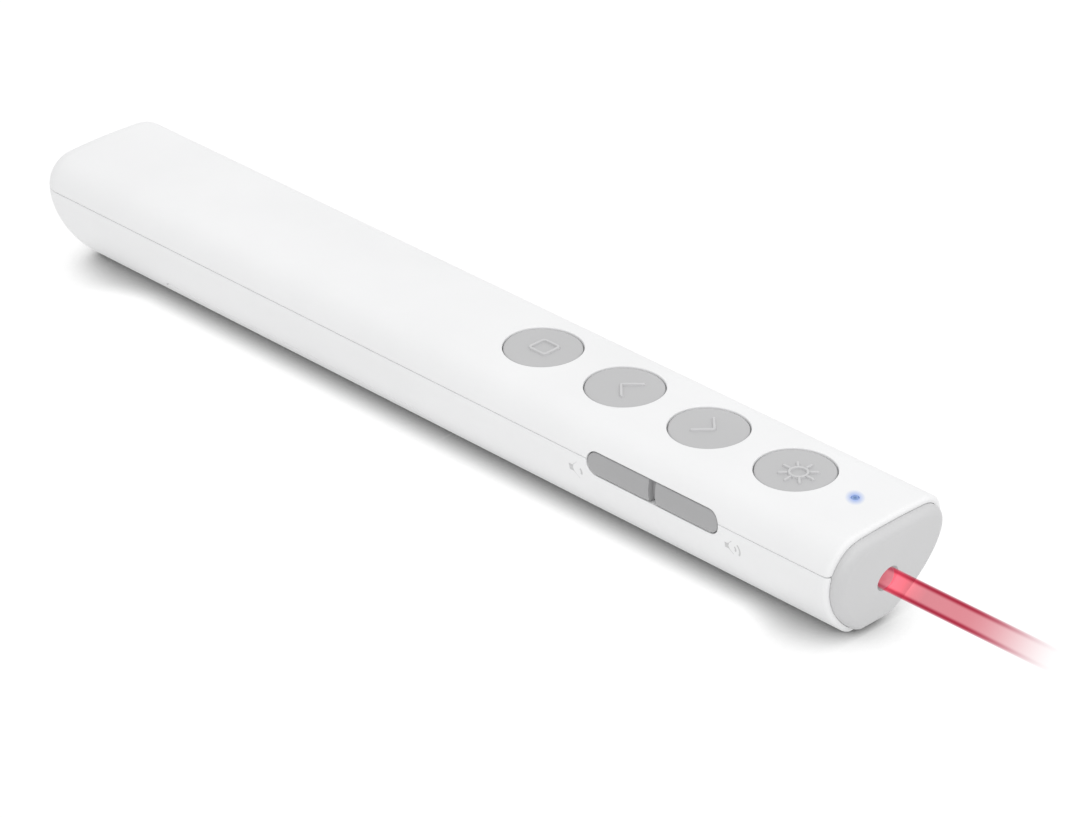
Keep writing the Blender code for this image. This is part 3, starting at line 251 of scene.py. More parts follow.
class KeyLooks(bpy.types.PropertyGroup):
    edge_round: bpy.props.FloatProperty(
        name="Key edge", description="Rounding of each key's upper edge",
        default=0.00026, unit="LENGTH")
    symbol_width: bpy.props.FloatProperty(
        name="Symbol width", description="Width of the raised lines on the keys",
        default=0.00046, unit="LENGTH")
    symbol_height: bpy.props.FloatProperty(
        name="Symbol height", description="Height of the raised lines over the key",
        default=0.00028, unit="LENGTH")
    grey: bpy.props.FloatVectorProperty(
        name="Key grey", description="Colour of the four round keys",
        default=(0.52, 0.52, 0.525), size=3, subtype="COLOR", min=0.0, max=1.0)
    rocker_grey: bpy.props.FloatVectorProperty(
        name="Rocker grey", description="Colour of the side rocker",
        default=(0.395, 0.395, 0.40), size=3, subtype="COLOR", min=0.0, max=1.0)
    cap_grey: bpy.props.FloatVectorProperty(
        name="Cap grey", description="Colour of the nose cap",
        default=(0.62, 0.62, 0.625), size=3, subtype="COLOR", min=0.0, max=1.0)


class StageLooks(bpy.types.PropertyGroup):
    sky: bpy.props.FloatProperty(
        name="Sky strength", description="Even light from all round", default=0.82, min=0.0)
    overhead: bpy.props.FloatProperty(
        name="Overhead power", description="Power of the soft lamp above",
        default=1.56, min=0.0, unit="POWER")
    nose_side: bpy.props.FloatProperty(
        name="Nose lamp power", description="Power of the soft lamp beyond the nose",
        default=0.5, min=0.0, unit="POWER")
    beam: bpy.props.FloatVectorProperty(
        name="Beam colour", description="Colour of the laser's beam",
        default=(1.0, 0.12, 0.19), size=3, subtype="COLOR", min=0.0, max=1.0)
    beam_length: bpy.props.FloatProperty(
        name="Beam length", description="How far the beam shows before it fades",
        default=0.030, unit="LENGTH")


def looks(name):
    """The user's settings for the case, the keys or the stage."""
    return getattr(bpy.context.scene, "presenter_" + name)


# Mesh building


def bezier(start, first, second, end, count):
    """Points of one curve in the section plane, both ends among them."""
    points = []
    for step in range(count + 1):
        t = step / count
        s = 1.0 - t
        weights = (s * s * s, 3 * s * s * t, 3 * s * t * t, t * t * t)
        knots = zip(weights, (start, first, second, end))
        points.append(tuple(map(sum, zip(*((w * y, w * z) for w, (y, z) in knots)))))
    return points


def half_section():
    """The case's right half outline, from the middle of the top round to the underside."""
    slope = 2 * CROWN / TOP_FLAT_HALF
    edge_z = HEIGHT - CROWN
    side = WIDTH / 2
    shares = [step / CROWN_STEPS for step in range(CROWN_STEPS)]
    top = [(TOP_FLAT_HALF * share, HEIGHT - CROWN * share * share) for share in shares]
    run = UPPER_HANDLES[0] * (side - TOP_FLAT_HALF)
    first = (TOP_FLAT_HALF + run, edge_z - slope * run)
    second = (side, SEAM + UPPER_HANDLES[1] * (edge_z - SEAM))
    upper = bezier((TOP_FLAT_HALF, edge_z), first, second, (side, SEAM), 60)
    first = (side, SEAM * (1.0 - LOWER_HANDLES[0]))
    second = (BOTTOM_FLAT_HALF + LOWER_HANDLES[1] * (side - BOTTOM_FLAT_HALF), 0.0)
    lower = bezier((side, SEAM), first, second, (BOTTOM_FLAT_HALF, 0.0), 60)
    return top + upper + lower[1:] + [(BOTTOM_FLAT_HALF / 2, 0.0), (0.0, 0.0)]


SECTION = half_section()


def drawn_in(points, inset):
    """Section points drawn in all round by an inset."""
    narrow = 1.0 - 2 * inset / WIDTH
    low = 1.0 - 2 * inset / HEIGHT
    return [(y * narrow, MIDDLE_Z + (z - MIDDLE_Z) * low) for y, z in points]


def side_at(z, inset=0.0):
    """Half width of the case at a height."""
    points = drawn_in(SECTION, inset)
    for (y0, z0), (y1, z1) in zip(points, points[1:]):
        if z0 >= z >= z1 and z0 > z1:
            return y0 + (y1 - y0) * (z0 - z) / (z0 - z1)
    return points[0][0]


def top_at(y):
    """Height of the crowned top at a distance from the middle."""
    share = abs(y) / TOP_FLAT_HALF
    return HEIGHT - CROWN * share * share


def respaced(points, count):
    """The same line with evenly spaced points."""
    spots = [Vector((0.0, y, z)) for y, z in points]
    gone = [0.0]
    for here, there in zip(spots, spots[1:]):
        gone.append(gone[-1] + (there - here).length)
    made = []
    at = 0
    for step in range(count + 1):
        want = gone[-1] * step / count
        while at < len(gone) - 2 and gone[at + 1] < want:
            at += 1
        share = (want - gone[at]) / max(gone[at + 1] - gone[at], 1e-12)
        spot = spots[at].lerp(spots[at + 1], min(max(share, 0.0), 1.0))
        made.append((spot.y, spot.z))
    return made


def half_line(from_top, inset, level):
    """The half outline from its middle as far as a height, with a fixed number of points."""
    points = drawn_in(SECTION, inset)
    if not from_top:
        points = points[::-1]
    flat = CROWN_STEPS if from_top else 2
    sign = 1.0 if from_top else -1.0
    kept = points[flat:flat + 1]
    for (y0, z0), (y1, z1) in zip(points[flat:], points[flat + 1:]):
        if sign * z1 <= sign * level:
            share = (z0 - level) / (z0 - z1) if z0 != z1 else 0.0
            kept.append((y0 + (y1 - y0) * share, level))
            break
        kept.append((y1, z1))
    return points[:flat] + respaced(kept, CURVE_STEPS)


def both_sides(half):
    """Left rim to right rim, through the middle point."""
    return [(-y, z) for y, z in half[:0:-1]] + half


def quads(shape, first, second, closed=True):
    """A strip of faces between two rows of vertices."""
    count = len(first)
    for here in range(count if closed else count - 1):
        ahead = (here + 1) % count
        corners = []
        for vertex in (first[here], first[ahead], second[ahead], second[here]):
            if vertex not in corners:
                corners.append(vertex)
        if len(corners) > 2:
            shape.faces.new(corners)


def skin_through(shape, rings):
    """Faces through rings that have the same number of points, open at both ends."""
    rows = [[shape.verts.new(point) for point in ring] for ring in rings]
    for near, far in zip(rows, rows[1:]):
        quads(shape, near, far)
    return rows


def loft(shape, rings):
    """Faces through rings, closed at both ends."""
    rows = skin_through(shape, rings)
    shape.faces.new(rows[0])
    shape.faces.new(rows[-1])


def quarter(steps):
    """How far a rounding of radius one lies from its side and from its top, step by step."""
    turns = [math.pi / 2 * step / steps for step in range(steps + 1)]
    return [(1 - math.cos(turn), 1 - math.sin(turn)) for turn in turns]


def around(spots, index, closed):
    """The points before and after one point of a path."""
    count = len(spots)
    if closed:
        return spots[(index - 1) % count], spots[(index + 1) % count]
    return spots[max(index - 1, 0)], spots[min(index + 1, count - 1)]


def circle(shape, centre, side, up, radius, steps):
    """A ring of vertices about a centre, in the plane of two directions."""
    row = []
    for step in range(steps):
        angle = math.tau * step / steps
        arm = (side * math.cos(angle) + up * math.sin(angle)) * radius
        row.append(shape.verts.new(centre + arm))
    return row


def lathe(shape, profile, place, along, steps, closed=False):
    """A profile of (radius, run) points turned about a line through a place."""
    axis = Vector(along).normalized()
    side = axis.orthogonal().normalized()
    up = axis.cross(side)
    rows = []
    for radius, run in profile:
        centre = Vector(place) + axis * run
        if radius:
            rows.append(circle(shape, centre, side, up, radius, steps))
        else:
            rows.append([shape.verts.new(centre)] * steps)
    pairs = list(zip(rows, rows[1:]))
    if closed:
        pairs.append((rows[-1], rows[0]))
    for near, far in pairs:
        quads(shape, near, far)
    if not closed:
        for end in (0, -1):
            if profile[end][0]:
                shape.faces.new(rows[end])


def tube(shape, path, radius, steps):
    """A round wire along a path."""
    spots = [Vector(point) for point in path]
    rows = []
    side = None
    for index, spot in enumerate(spots):
        before, after = around(spots, index, False)
        ahead = (after - before).normalized()
        side = ahead.orthogonal() if side is None else side - ahead * side.dot(ahead)
        side.normalize()
        up = ahead.cross(side)
        rows.append(circle(shape, spot, side, up, radius, steps))
    for near, far in zip(rows, rows[1:]):
        quads(shape, near, far)
    shape.faces.new(rows[0])
    shape.faces.new(rows[-1])


def ridge(shape, path, width, height, closed=False):
    """A low raised line with rounded sides that lies along a path."""
    spots = [Vector(point) for point in path]
    rows = []
    for index, spot in enumerate(spots):
        before, after = around(spots, index, closed)
        ahead = after - before
        across = Vector((-ahead.y, ahead.x, 0.0)).normalized()
        row = []
        for reach, rise in RIDGE_SECTION:
            offset = across * width / 2 * reach + Vector((0.0, 0.0, height * rise))
            row.append(shape.verts.new(spot + offset))
        rows.append(row)
    for near, far in zip(rows, rows[1:]):
        quads(shape, near, far)
    if closed:
        quads(shape, rows[-1], rows[0])
        return
    for row, outward in ((rows[0], spots[0] - spots[1]), (rows[-1], spots[-1] - spots[-2])):
        end = outward.normalized()
        middle = sum((vertex.co for vertex in row), Vector()) / len(row)
        last = row
        for turn in (30.0, 60.0):
            lean = math.radians(turn)
            ring = []
            for vertex in row:
                arm = (vertex.co - middle) * math.cos(lean)
                ring.append(shape.verts.new(middle + arm + end * width / 2 * math.sin(lean)))
            quads(shape, last, ring)
            last = ring
        tip = shape.verts.new(middle + end * width / 2)
        quads(shape, last, [tip] * len(last))


def block(shape, low, high, rounding, segments=2, turn=None):
    """A block with rounded edges between two corners."""
    low, high = Vector(low), Vector(high)
    made = bmesh.ops.create_cube(shape, size=1.0)["verts"]
    bmesh.ops.scale(shape, vec=high - low, verts=made)
    bmesh.ops.translate(shape, vec=(low + high) / 2, verts=made)
    if rounding:
        edges = list(dict.fromkeys(edge for vertex in made for edge in vertex.link_edges))
        settings = {"segments": segments, "profile": 0.5, "affect": "EDGES"}
        grown = bmesh.ops.bevel(shape, geom=edges, offset=rounding, **settings)
        made = grown["verts"]
    if turn:
        bmesh.ops.rotate(shape, cent=(low + high) / 2, matrix=turn, verts=made)


def new_piece(name, shape):
    """An object from a finished shape, with its faces looking out."""
    bmesh.ops.recalc_face_normals(shape, faces=shape.faces)
    mesh = bpy.data.meshes.new(name)
    shape.to_mesh(mesh)
    shape.free()
    piece = bpy.data.objects.new(name, mesh)
    bpy.context.scene.collection.objects.link(piece)
    return piece


def settle(piece):
    """Turns a piece's modifiers into its mesh."""
    graph = bpy.context.evaluated_depsgraph_get()
    made = bpy.data.meshes.new_from_object(piece.evaluated_get(graph))
    old = piece.data
    piece.modifiers.clear()
    piece.data = made
    bpy.data.meshes.remove(old)
    made.name = piece.name


def carve(piece, tools, operation="DIFFERENCE"):
    """Cuts tools from a piece, or joins them to it, and marks the faces that come from them."""
    marks = [bpy.data.materials.get(name) for name in ("kept_skin", "cut_skin")]
    if not piece.data.materials:
        piece.data.materials.append(marks[0])
    for tool in tools:
        tool.data.materials.clear()
        tool.data.materials.append(marks[1] if operation == "DIFFERENCE" else marks[0])
        step = piece.modifiers.new(tool.name, "BOOLEAN")
        step.operation = operation
        step.solver = "EXACT"
        step.material_mode = "TRANSFER"
        step.object = tool
    settle(piece)
    for tool in tools:
        mesh = tool.data
        bpy.data.objects.remove(tool)
        bpy.data.meshes.remove(mesh)


def soften_cuts(piece, rounding, wanted=None):
    """Rounds the edges between a piece's skin and what was cut from it."""
    mesh = piece.data
    names = [finish.name if finish else "" for finish in mesh.materials]
    cut = names.index("cut_skin") if "cut_skin" in names else -1
    shape = bmesh.new()
    shape.from_mesh(mesh)

    def rims():
        found = []
        for edge in shape.edges:
            if len(edge.link_faces) != 2:
                continue
            kinds = [face.material_index == cut for face in edge.link_faces]
            if kinds[0] != kinds[1] and edge.calc_face_angle(0.0) > math.radians(25.0):
                middle = (edge.verts[0].co + edge.verts[1].co) / 2
                if wanted is None or wanted(middle):
                    found.append(edge)
        return found

    near = list(dict.fromkeys(vertex for edge in rims() for vertex in edge.verts))
    bmesh.ops.remove_doubles(shape, verts=near, dist=rounding * 0.35)
    settings = {"segments": 2, "profile": 0.5, "affect": "EDGES", "clamp_overlap": False}
    bmesh.ops.bevel(shape, geom=rims(), offset=rounding, **settings)
    for face in shape.faces:
        face.material_index = 0
    shape.to_mesh(mesh)
    shape.free()


def dress(piece, finish, body, nodes=(), sharp=32.0):
    """Gives a piece its finish, its smooth shading and its body, and hides the frame nodes it
    stands for.
    """
    piece.data.materials.clear()
    piece.data.materials.append(bpy.data.materials[finish])
    piece.data.shade_smooth()
    piece.data.set_sharp_from_angle(angle=math.radians(sharp))
    normals = piece.modifiers.new("normals", "WEIGHTED_NORMAL")
    normals.keep_sharp = True
    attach(piece, body)
    if nodes:
        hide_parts(*nodes)


# Finishes


def add(tree, kind, **settings):
    """A new node with some of its settings."""
    node = tree.nodes.new(kind)
    for name, value in settings.items():
        setattr(node, name, value)
    return node


def feed(tree, socket, value):
    """Sets a socket to a number, or links another socket to it."""
    if isinstance(value, bpy.types.NodeSocket):
        tree.links.new(value, socket)
    else:
        socket.default_value = value


def reckon(tree, operation, *values):
    """The outcome of one sum with numbers or sockets."""
    node = add(tree, "ShaderNodeMath", operation=operation)
    for socket, value in zip(node.inputs, values):
        feed(tree, socket, value)
    return node.outputs[0]


def spread(tree, value, low, high, new_low, new_high, smooth=False):
    """Maps a value from one range to another, held at both ends."""
    node = add(tree, "ShaderNodeMapRange", clamp=True)
    if smooth:
        node.interpolation_type = "SMOOTHSTEP"
    for socket, number in zip(node.inputs[:5], (value, low, high, new_low, new_high)):
        feed(tree, socket, number)
    return node.outputs[0]


def blend_colours(tree, share, first, second):
    """A colour between two, from the first at none to the second at one."""
    node = add(tree, "ShaderNodeMix", data_type="RGBA")
    feed(tree, node.inputs["Factor"], share)
    for socket, colour in ((node.inputs[6], first), (node.inputs[7], second)):
        feed(tree, socket, (*colour, 1.0) if isinstance(colour, (tuple, list)) else colour)
    return node.outputs[2]


def noise(tree, place, scale, detail):
    """Even noise over the surface, with its middle at one half."""
    node = add(tree, "ShaderNodeTexNoise", noise_dimensions="3D")
    for title, value in (("Vector", place), ("Scale", scale), ("Detail", detail)):
        feed(tree, node.inputs[title], value)
    return node.outputs["Fac"]


def object_place(tree):
    return add(tree, "ShaderNodeTexCoord").outputs["Object"]


def object_parts(tree):
    """The place on the surface, as one value for each axis."""
    parts = add(tree, "ShaderNodeSeparateXYZ")
    feed(tree, parts.inputs[0], object_place(tree))
    return parts.outputs


def new_group(name, takes, gives):
    """An empty shader group with named sockets, and its two ends."""
    group = bpy.data.node_groups.new(name, "ShaderNodeTree")
    for title, default in takes.items():
        kind = "NodeSocketFloat" if isinstance(default, float) else "NodeSocketVector"
        socket = group.interface.new_socket(title, in_out="INPUT", socket_type=kind)
        socket.default_value = default
    for title in gives:
        group.interface.new_socket(title, in_out="OUTPUT", socket_type="NodeSocketFloat")
    start, end = add(group, "NodeGroupInput"), add(group, "NodeGroupOutput")
    return group, start.outputs, end.inputs


def make_moulded_group():
    """The fine even grain of moulded plastic, with slow changes of tone and gloss."""
    takes = {"Grain": 5200.0, "Roughness": 0.4, "Change": 0.05}
    group, given, wanted = new_group("moulded_skin", takes, ("Height", "Tone", "Gloss"))
    place = object_place(group)
    feed(group, wanted["Height"], noise(group, place, given["Grain"], 2.0))
    broad = noise(group, place, 55.0, 3.0)
    feed(group, wanted["Tone"], spread(group, broad, 0.3, 0.7, 0.0, 1.0))
    flow = reckon(group, "SUBTRACT", noise(group, place, 420.0, 4.0), 0.5)
    swing = reckon(group, "MULTIPLY", flow, given["Change"])
    feed(group, wanted["Gloss"], reckon(group, "ADD", given["Roughness"], swing))


def make_turned_group():
    """The fine rings that a lathe or a drawing die leaves on metal."""
    takes = {"Rings": 9000.0, "Roughness": 0.3, "Along": 0.0}
    group, given, wanted = new_group("turned_skin", takes, ("Height", "Tone", "Gloss"))
    parts = object_parts(group)
    run = add(group, "ShaderNodeMix", data_type="FLOAT")
    feed(group, run.inputs["Factor"], given["Along"])
    feed(group, run.inputs[2], parts["X"])
    feed(group, run.inputs[3], parts["Z"])
    lines = add(group, "ShaderNodeTexNoise", noise_dimensions="1D")
    for title, value in (("W", run.outputs[0]), ("Scale", given["Rings"]), ("Detail", 3.0)):
        feed(group, lines.inputs[title], value)
    feed(group, wanted["Height"], lines.outputs["Fac"])
    stain = noise(group, object_place(group), 350.0, 4.0)
    feed(group, wanted["Tone"], spread(group, stain, 0.35, 0.65, 0.0, 1.0))
    swing = reckon(group, "MULTIPLY_ADD", stain, 0.16, -0.08)
    feed(group, wanted["Gloss"], reckon(group, "ADD", given["Roughness"], swing))


# The spot is the mask of the painted glow round the indicator light.
def make_spot_group():
    """A soft spot about a point, stretched along a diagonal of the top: one inside it."""
    takes = {"Centre": (0.0, 0.0, 0.0), "Inner": 0.0, "Outer": 0.001, "Stretch": 1.0}
    group, given, wanted = new_group("soft_spot", takes, ("Mask",))
    offset = add(group, "ShaderNodeVectorMath", operation="SUBTRACT")
    feed(group, offset.inputs[0], object_place(group))
    feed(group, offset.inputs[1], given["Centre"])
    turned_offset = add(group, "ShaderNodeVectorRotate", rotation_type="Z_AXIS")
    feed(group, turned_offset.inputs["Vector"], offset.outputs[0])
    feed(group, turned_offset.inputs["Angle"], math.radians(45.0))
    scales = add(group, "ShaderNodeCombineXYZ")
    for socket, value in zip(scales.inputs,
                             (reckon(group, "DIVIDE", 1.0, given["Stretch"]), 1.0, 1.0)):
        feed(group, socket, value)
    squeezed = add(group, "ShaderNodeVectorMath", operation="MULTIPLY")
    feed(group, squeezed.inputs[0], turned_offset.outputs[0])
    feed(group, squeezed.inputs[1], scales.outputs[0])
    gap = add(group, "ShaderNodeVectorMath", operation="LENGTH")
    feed(group, gap.inputs[0], squeezed.outputs[0])
    feed(group, wanted["Mask"],
         spread(group, gap.outputs["Value"], given["Inner"], given["Outer"], 1.0, 0.0))


def use_group(tree, name, **values):
    """A shared group placed in a material with its own values."""
    node = add(tree, "ShaderNodeGroup", node_tree=bpy.data.node_groups[name])
    for title, value in values.items():
        feed(tree, node.inputs[title], value)
    return node


def finish_of(name, colour, kind, skin_values, bump, tint=(0.975, 1.01), **constants):
    """A finished material, given back with its tree, shader and base colour for more."""
    made = bpy.data.materials.new(name)
    made.use_nodes = True
    tree = made.node_tree
    shader = tree.nodes["Principled BSDF"]
    for title, value in constants.items():
        shader.inputs[title.replace("_", " ")].default_value = value
    skin = use_group(tree, kind, **skin_values)
    shades = [tuple(min(part * share, 1.0) for part in colour) for share in tint]
    base = blend_colours(tree, skin.outputs["Tone"], *shades)
    feed(tree, shader.inputs["Base Color"], base)
    feed(tree, shader.inputs["Roughness"], skin.outputs["Gloss"])
    relief = add(tree, "ShaderNodeBump")
    for title, value in (("Strength", 1.0), ("Distance", bump),
                         ("Height", skin.outputs["Height"])):
        feed(tree, relief.inputs[title], value)
    feed(tree, shader.inputs["Normal"], relief.outputs["Normal"])
    return tree, shader, base


def moulded(name, colour, grain, roughness, change, bump, **more):
    """A finish of moulded plastic, rubber or glass."""
    values = {"Grain": grain, "Roughness": roughness, "Change": change}
    return finish_of(name, tuple(colour), "moulded_skin", values, bump=bump, **more)


def paint_indicator_glow(tree, shader, base, reach, stretch, tint, glows):
    """Paints a glow round the indicator light into a finish: a painted tint in its base colour
    and a faint emission there.
    """
    light = middle_of("indicator_light_pipe")
    spot = use_group(tree, "soft_spot", Centre=(light.x, 0.0, HEIGHT), Inner=reach[0],
                     Outer=reach[1], Stretch=stretch)
    mask = spot.outputs["Mask"]
    # Painted glow: inside the spot the base colour turns to the tint and the emission colour to
    # the second of the glow colours.
    feed(tree, shader.inputs["Base Color"], blend_colours(tree, mask, base, tint))
    feed(tree, shader.inputs["Emission Color"], blend_colours(tree, mask, *glows))
    shader.inputs["Emission Strength"].default_value = 1.0


# Skin of a case half, and simple solids


def soft_rim(side, level, soft, sign=-1.0):
    """Section points of a rim's rounding, from the outside in."""
    turns = [math.radians(angle) for angle in RIM_ANGLES]
    return [(side - soft * (1 - math.cos(turn)), level + sign * soft * (1 - math.sin(turn)))
            for turn in turns]


def ring_of(station, outer_half, rim, inner_half):
    """One ring of a case half: outside, right rim, inside, left rim."""
    outer = both_sides(outer_half)
    inner = both_sides(inner_half)[::-1]
    left_rim = [(-y, z) for y, z in rim[::-1]]
    flat = outer + rim + inner + left_rim
    return [station(y, z, index) for index, (y, z) in enumerate(flat)]


def case_half(upper, gap, rounding):
    """The skin of one case half, as one closed shape with a stepped rim."""
    sign = 1.0 if upper else -1.0
    lap, rise = UPPER_STEP if upper else LOWER_STEP
    points = CURVE_STEPS + (CROWN_STEPS if upper else 2)
    count = 2 * points + 1
    rim_size = len(RIM_ANGLES) + 4

    def ring(x, outset, inset, lean=0.0, turn=0.0, lift=0.0, plain=False):
        level = SEAM + sign * (gap / 2 + lift)
        depth = inset - outset
        soft = min(rounding, depth * 0.3)
        step = min(lap, depth * 0.6)
        up = 0.00002 if plain else rise
        outer = half_line(upper, outset, level + sign * soft)
        inner = half_line(upper, inset, level + up)
        side = outer[-1][0]
        deep = inner[-1][0]
        rim = soft_rim(side, level, soft, sign)
        rim += [(side - step, level), (side - step - depth * 0.02, level + up),
                ((side - step + deep) / 2, level + up), (deep + depth * 0.03, level + up)]
        wide = 1.0 - TAIL_SHARES[0] * (1 - math.cos(turn))
        high = 1.0 - TAIL_SHARES[1] * (1 - math.cos(turn))

        def place(y, z, index):
            if index < count:
                foot, deeper = level + sign * soft, 0.0
            elif index < count + rim_size or index >= 2 * count + rim_size:
                foot, deeper = None, (side - abs(y)) / max(depth, 1e-9)
            else:
                foot, deeper = level + up, 1.0
            if foot is not None:
                z = foot + (z - foot) * high
            shift = TAIL_ROUND * (1 - math.sin(turn)) + deeper * depth * math.sin(turn)
            if turn:
                return (TAIL_X + shift, y - (1.0 - wide) * math.copysign(side, y)
                        if index >= count and foot is None else y * wide, z)
            return (x + lean * (z - MIDDLE_Z), y, z)

        return ring_of(place, outer, rim, inner)

    rings = []
    for step in range(TAIL_STEPS):
        turn = math.pi / 2 * (1 - step / TAIL_STEPS)
        rings.append(ring(0.0, 0.0, WALL, turn=turn))
    straight = TAIL_X + TAIL_ROUND
    slot = middle_of("side_rocker").x
    for x in (straight, *CASE_STATIONS, *(slot + ahead for ahead in SLOT_STATIONS)):
        share = (x - straight) / (PARTING_X - NOSE_STATIONS[0] - straight)
        rings.append(ring(x, 0.0, WALL, lean=NOSE_LEAN * share))
    for back in NOSE_STATIONS:
        rings.append(ring(PARTING_X - back, 0.0, WALL, lean=NOSE_LEAN))
    rings.append(ring(PARTING_X - LIP_ROUND, 0.0, WALL, lean=NOSE_LEAN, lift=LIP_LIFT))
    for step in range(1, LIP_STEPS + 1):
        angle = math.pi / 2 * (1 - step / LIP_STEPS)
        x = PARTING_X - LIP_ROUND * (1 - math.cos(angle))
        inset = LIP_ROUND * (1 - math.sin(angle))
        lift = LIP_LIFT + LIP_OPENING * (step / LIP_STEPS) ** 2
        rings.append(ring(x, inset, LIP_INSIDE, lean=NOSE_LEAN, lift=lift, plain=True))
    shape = bmesh.new()
    rows = skin_through(shape, rings)

    def end_parts(row):
        outer = row[:count]
        right = row[count:count + rim_size]
        inner = row[count + rim_size:2 * count + rim_size]
        left = row[2 * count + rim_size:]
        return outer, right, inner, left

    outer, right, inner, left = end_parts(rows[-1])
    inner = inner[::-1]
    quads(shape, outer, inner, closed=False)
    shape.faces.new([outer[-1]] + right + [inner[-1]])
    shape.faces.new([outer[0], inner[0]] + left)
    outer, right, inner, left = end_parts(rows[0])
    shape.faces.new(outer)
    shape.faces.new(inner)
    chain_right = [outer[-1]] + right + [inner[0]]
    chain_left = [outer[0]] + left[::-1] + [inner[-1]]
    quads(shape, chain_right, chain_left, closed=False)
    return shape


def rounded_rectangle(half_u, half_v, radius, marks=(), steps=8):
    """Corners and marks of a rounded rectangle, turning left from the lower right corner."""
    radius = max(radius, 1e-5)
    points = []
    middle_u, middle_v = half_u - radius, half_v - radius
    for start, side_u, side_v in ((-90, 1, -1), (0, 1, 1), (90, -1, 1), (180, -1, -1)):
        for step in range(steps + 1):
            angle = math.radians(start + 90.0 * step / steps)
            points.append((side_u * middle_u + radius * math.cos(angle),
                           side_v * middle_v + radius * math.sin(angle)))
        if start == 0:
            points += [(mark, half_v) for mark in sorted(marks, reverse=True)]
        if start == 180:
            points += [(mark, -half_v) for mark in sorted(marks)]
    return points


def prism(name, outline, place, low, high):
    """A closed block with a flat outline, put in space by a function of (u, v, depth)."""
    shape = bmesh.new()
    loft(shape, [[place(u, v, depth) for u, v in outline] for depth in (low, high)])
    return new_piece(name, shape)


def rod(name, radius, place, along, low, high, steps=ROUND_STEPS):
    """A round bar between two runs along a line, to join or to cut with."""
    shape = bmesh.new()
    lathe(shape, [(radius, low), (radius, high)], place, along, steps)
    return new_piece(name, shape)


def solid_block(name, low, high, rounding=0.0):
    """A block between two corners, to join."""
    shape = bmesh.new()
    block(shape, low, high, rounding)
    return new_piece(name, shape)


def middle_of(node):
    """The middle of a frame node's box."""
    low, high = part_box(node)
    return (low + high) / 2


def on_side(u, v, depth):
    """A flat outline seen from the rocker's side."""
    return (u, depth, v)


# Case halves, cover and nose cap


class BuildCaseTop(bpy.types.Operator):
    """Upper case half with its holes, screw posts, side tabs and nose lip"""
    bl_idname = "presenter.case_top"
    bl_label = "Case top"

    def execute(self, context):
        case = looks("case")
        top = new_piece("case_top_half", case_half(True, case.seam_gap, case.rim_round))
        joined, tools = [], []
        for name, x, y, foot, deep, bore, wall, head in top_posts():
            joined.append(rod("post_" + name, bore + wall, (x, y, 0.0), Z_AXIS, foot, head, 40))
            tools.append(rod("pilot_" + name, bore, (x, y, 0.0), Z_AXIS, foot - 0.001, deep, 28))
        for index, x in enumerate(TAB_PLACES):
            for side in (-1, 1):
                for label, inner, outer, low, high in TAB_BLOCKS:
                    near, far = sorted((side * inner, side * outer))
                    joined.append(solid_block("tab_%s_%d" % (label, index),
                                              (x - TAB_HALF, near, low),
                                              (x + TAB_HALF, far, high)))
        carve(top, joined, "UNION")
        for name in KEYS:
            spot = middle_of(name + "_button")
            tools.append(top_hole(name + "_hole", KEY_HOLE, spot.x, case.cut_round, 96))
        light = middle_of("indicator_light_pipe")
        tools.append(top_hole("light_hole", LIGHT_HOLE, light.x, case.cut_round / 3, 48))
        tools.append(rocker_slot(case.cut_round))
        carve(top, tools)
        dress(top, "white_case", "case", ("top_shell",))
        return {"FINISHED"}


def top_posts():
    """Posts under the roof: name, x, y, foot, depth of hole, hole, wall, height they reach."""
    posts = []
    for node in (*BOARD_SCREWS, "case_screw"):
        low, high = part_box(node)
        foot = CASE_POST_FOOT
        if node in BOARD_SCREWS:
            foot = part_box("circuit_board")[1].z + 0.0001
        posts.append((node, (low.x + high.x) / 2, (low.y + high.y) / 2, foot,
                      high.z + 0.0001, SCREW_BORE, POST_WALL, POST_TOP))
    pin = middle_of("rocker_pivot_pin")
    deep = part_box("rocker_pivot_pin")[1].z + 0.00005
    foot, bore, wall, head = PIVOT_POST
    posts.append(("pivot", pin.x, pin.y, foot, deep, bore, wall, head))
    return posts


def mouth(rounding):
    """How far a cut grows at each depth under the skin, and above the skin, for a soft rim."""
    steps = []
    for angle in (0.0, 20.0, 40.0, 60.0):
        turn = math.radians(angle)
        steps.append((rounding * (1 - math.cos(turn)), rounding * (1 - math.sin(turn))))
    grow, sink = steps[-1]
    above = 0.0005
    return steps + [(grow + (sink + above) * math.tan(turn), -above)]


def crown(shape, above):
    """Lets the vertices above a height follow the crowned top."""
    for vertex in shape.verts:
        if vertex.co.z > above:
            vertex.co.z += top_at(vertex.co.y) - HEIGHT


def top_hole(name, radius, x, rounding, steps):
    """A round cut down through the crowned top, widening softly at its rim."""
    profile = [(radius, HOLE_FOOT)]
    profile += [(radius + grow, HEIGHT - sink) for grow, sink in mouth(rounding)]
    shape = bmesh.new()
    lathe(shape, profile, (x, 0.0, 0.0), Z_AXIS, steps)
    crown(shape, HEIGHT - 0.001)
    return new_piece(name, shape)


def rocker_slot(rounding):
    """The cut for the rocker, following the case's side and widening softly at its rim."""
    spot = middle_of("side_rocker")
    rings = []
    for grow, sink in [(0.0, None)] + mouth(rounding):
        gap = SLOT_GAP + grow
        outline = rounded_rectangle(ROCKER_HALF_LENGTH + gap, ROCKER_HALF_HEIGHT + gap,
                                    ROCKER_CORNER + gap)
        ring = []
        for u, v in outline:
            z = ROCKER_MIDDLE_Z + v
            reach = SLOT_DEEP if sink is None else side_at(z) - sink
            ring.append((spot.x + u, -reach, z))
        rings.append(ring)
    shape = bmesh.new()
    loft(shape, rings)
    return new_piece("rocker_slot", shape)


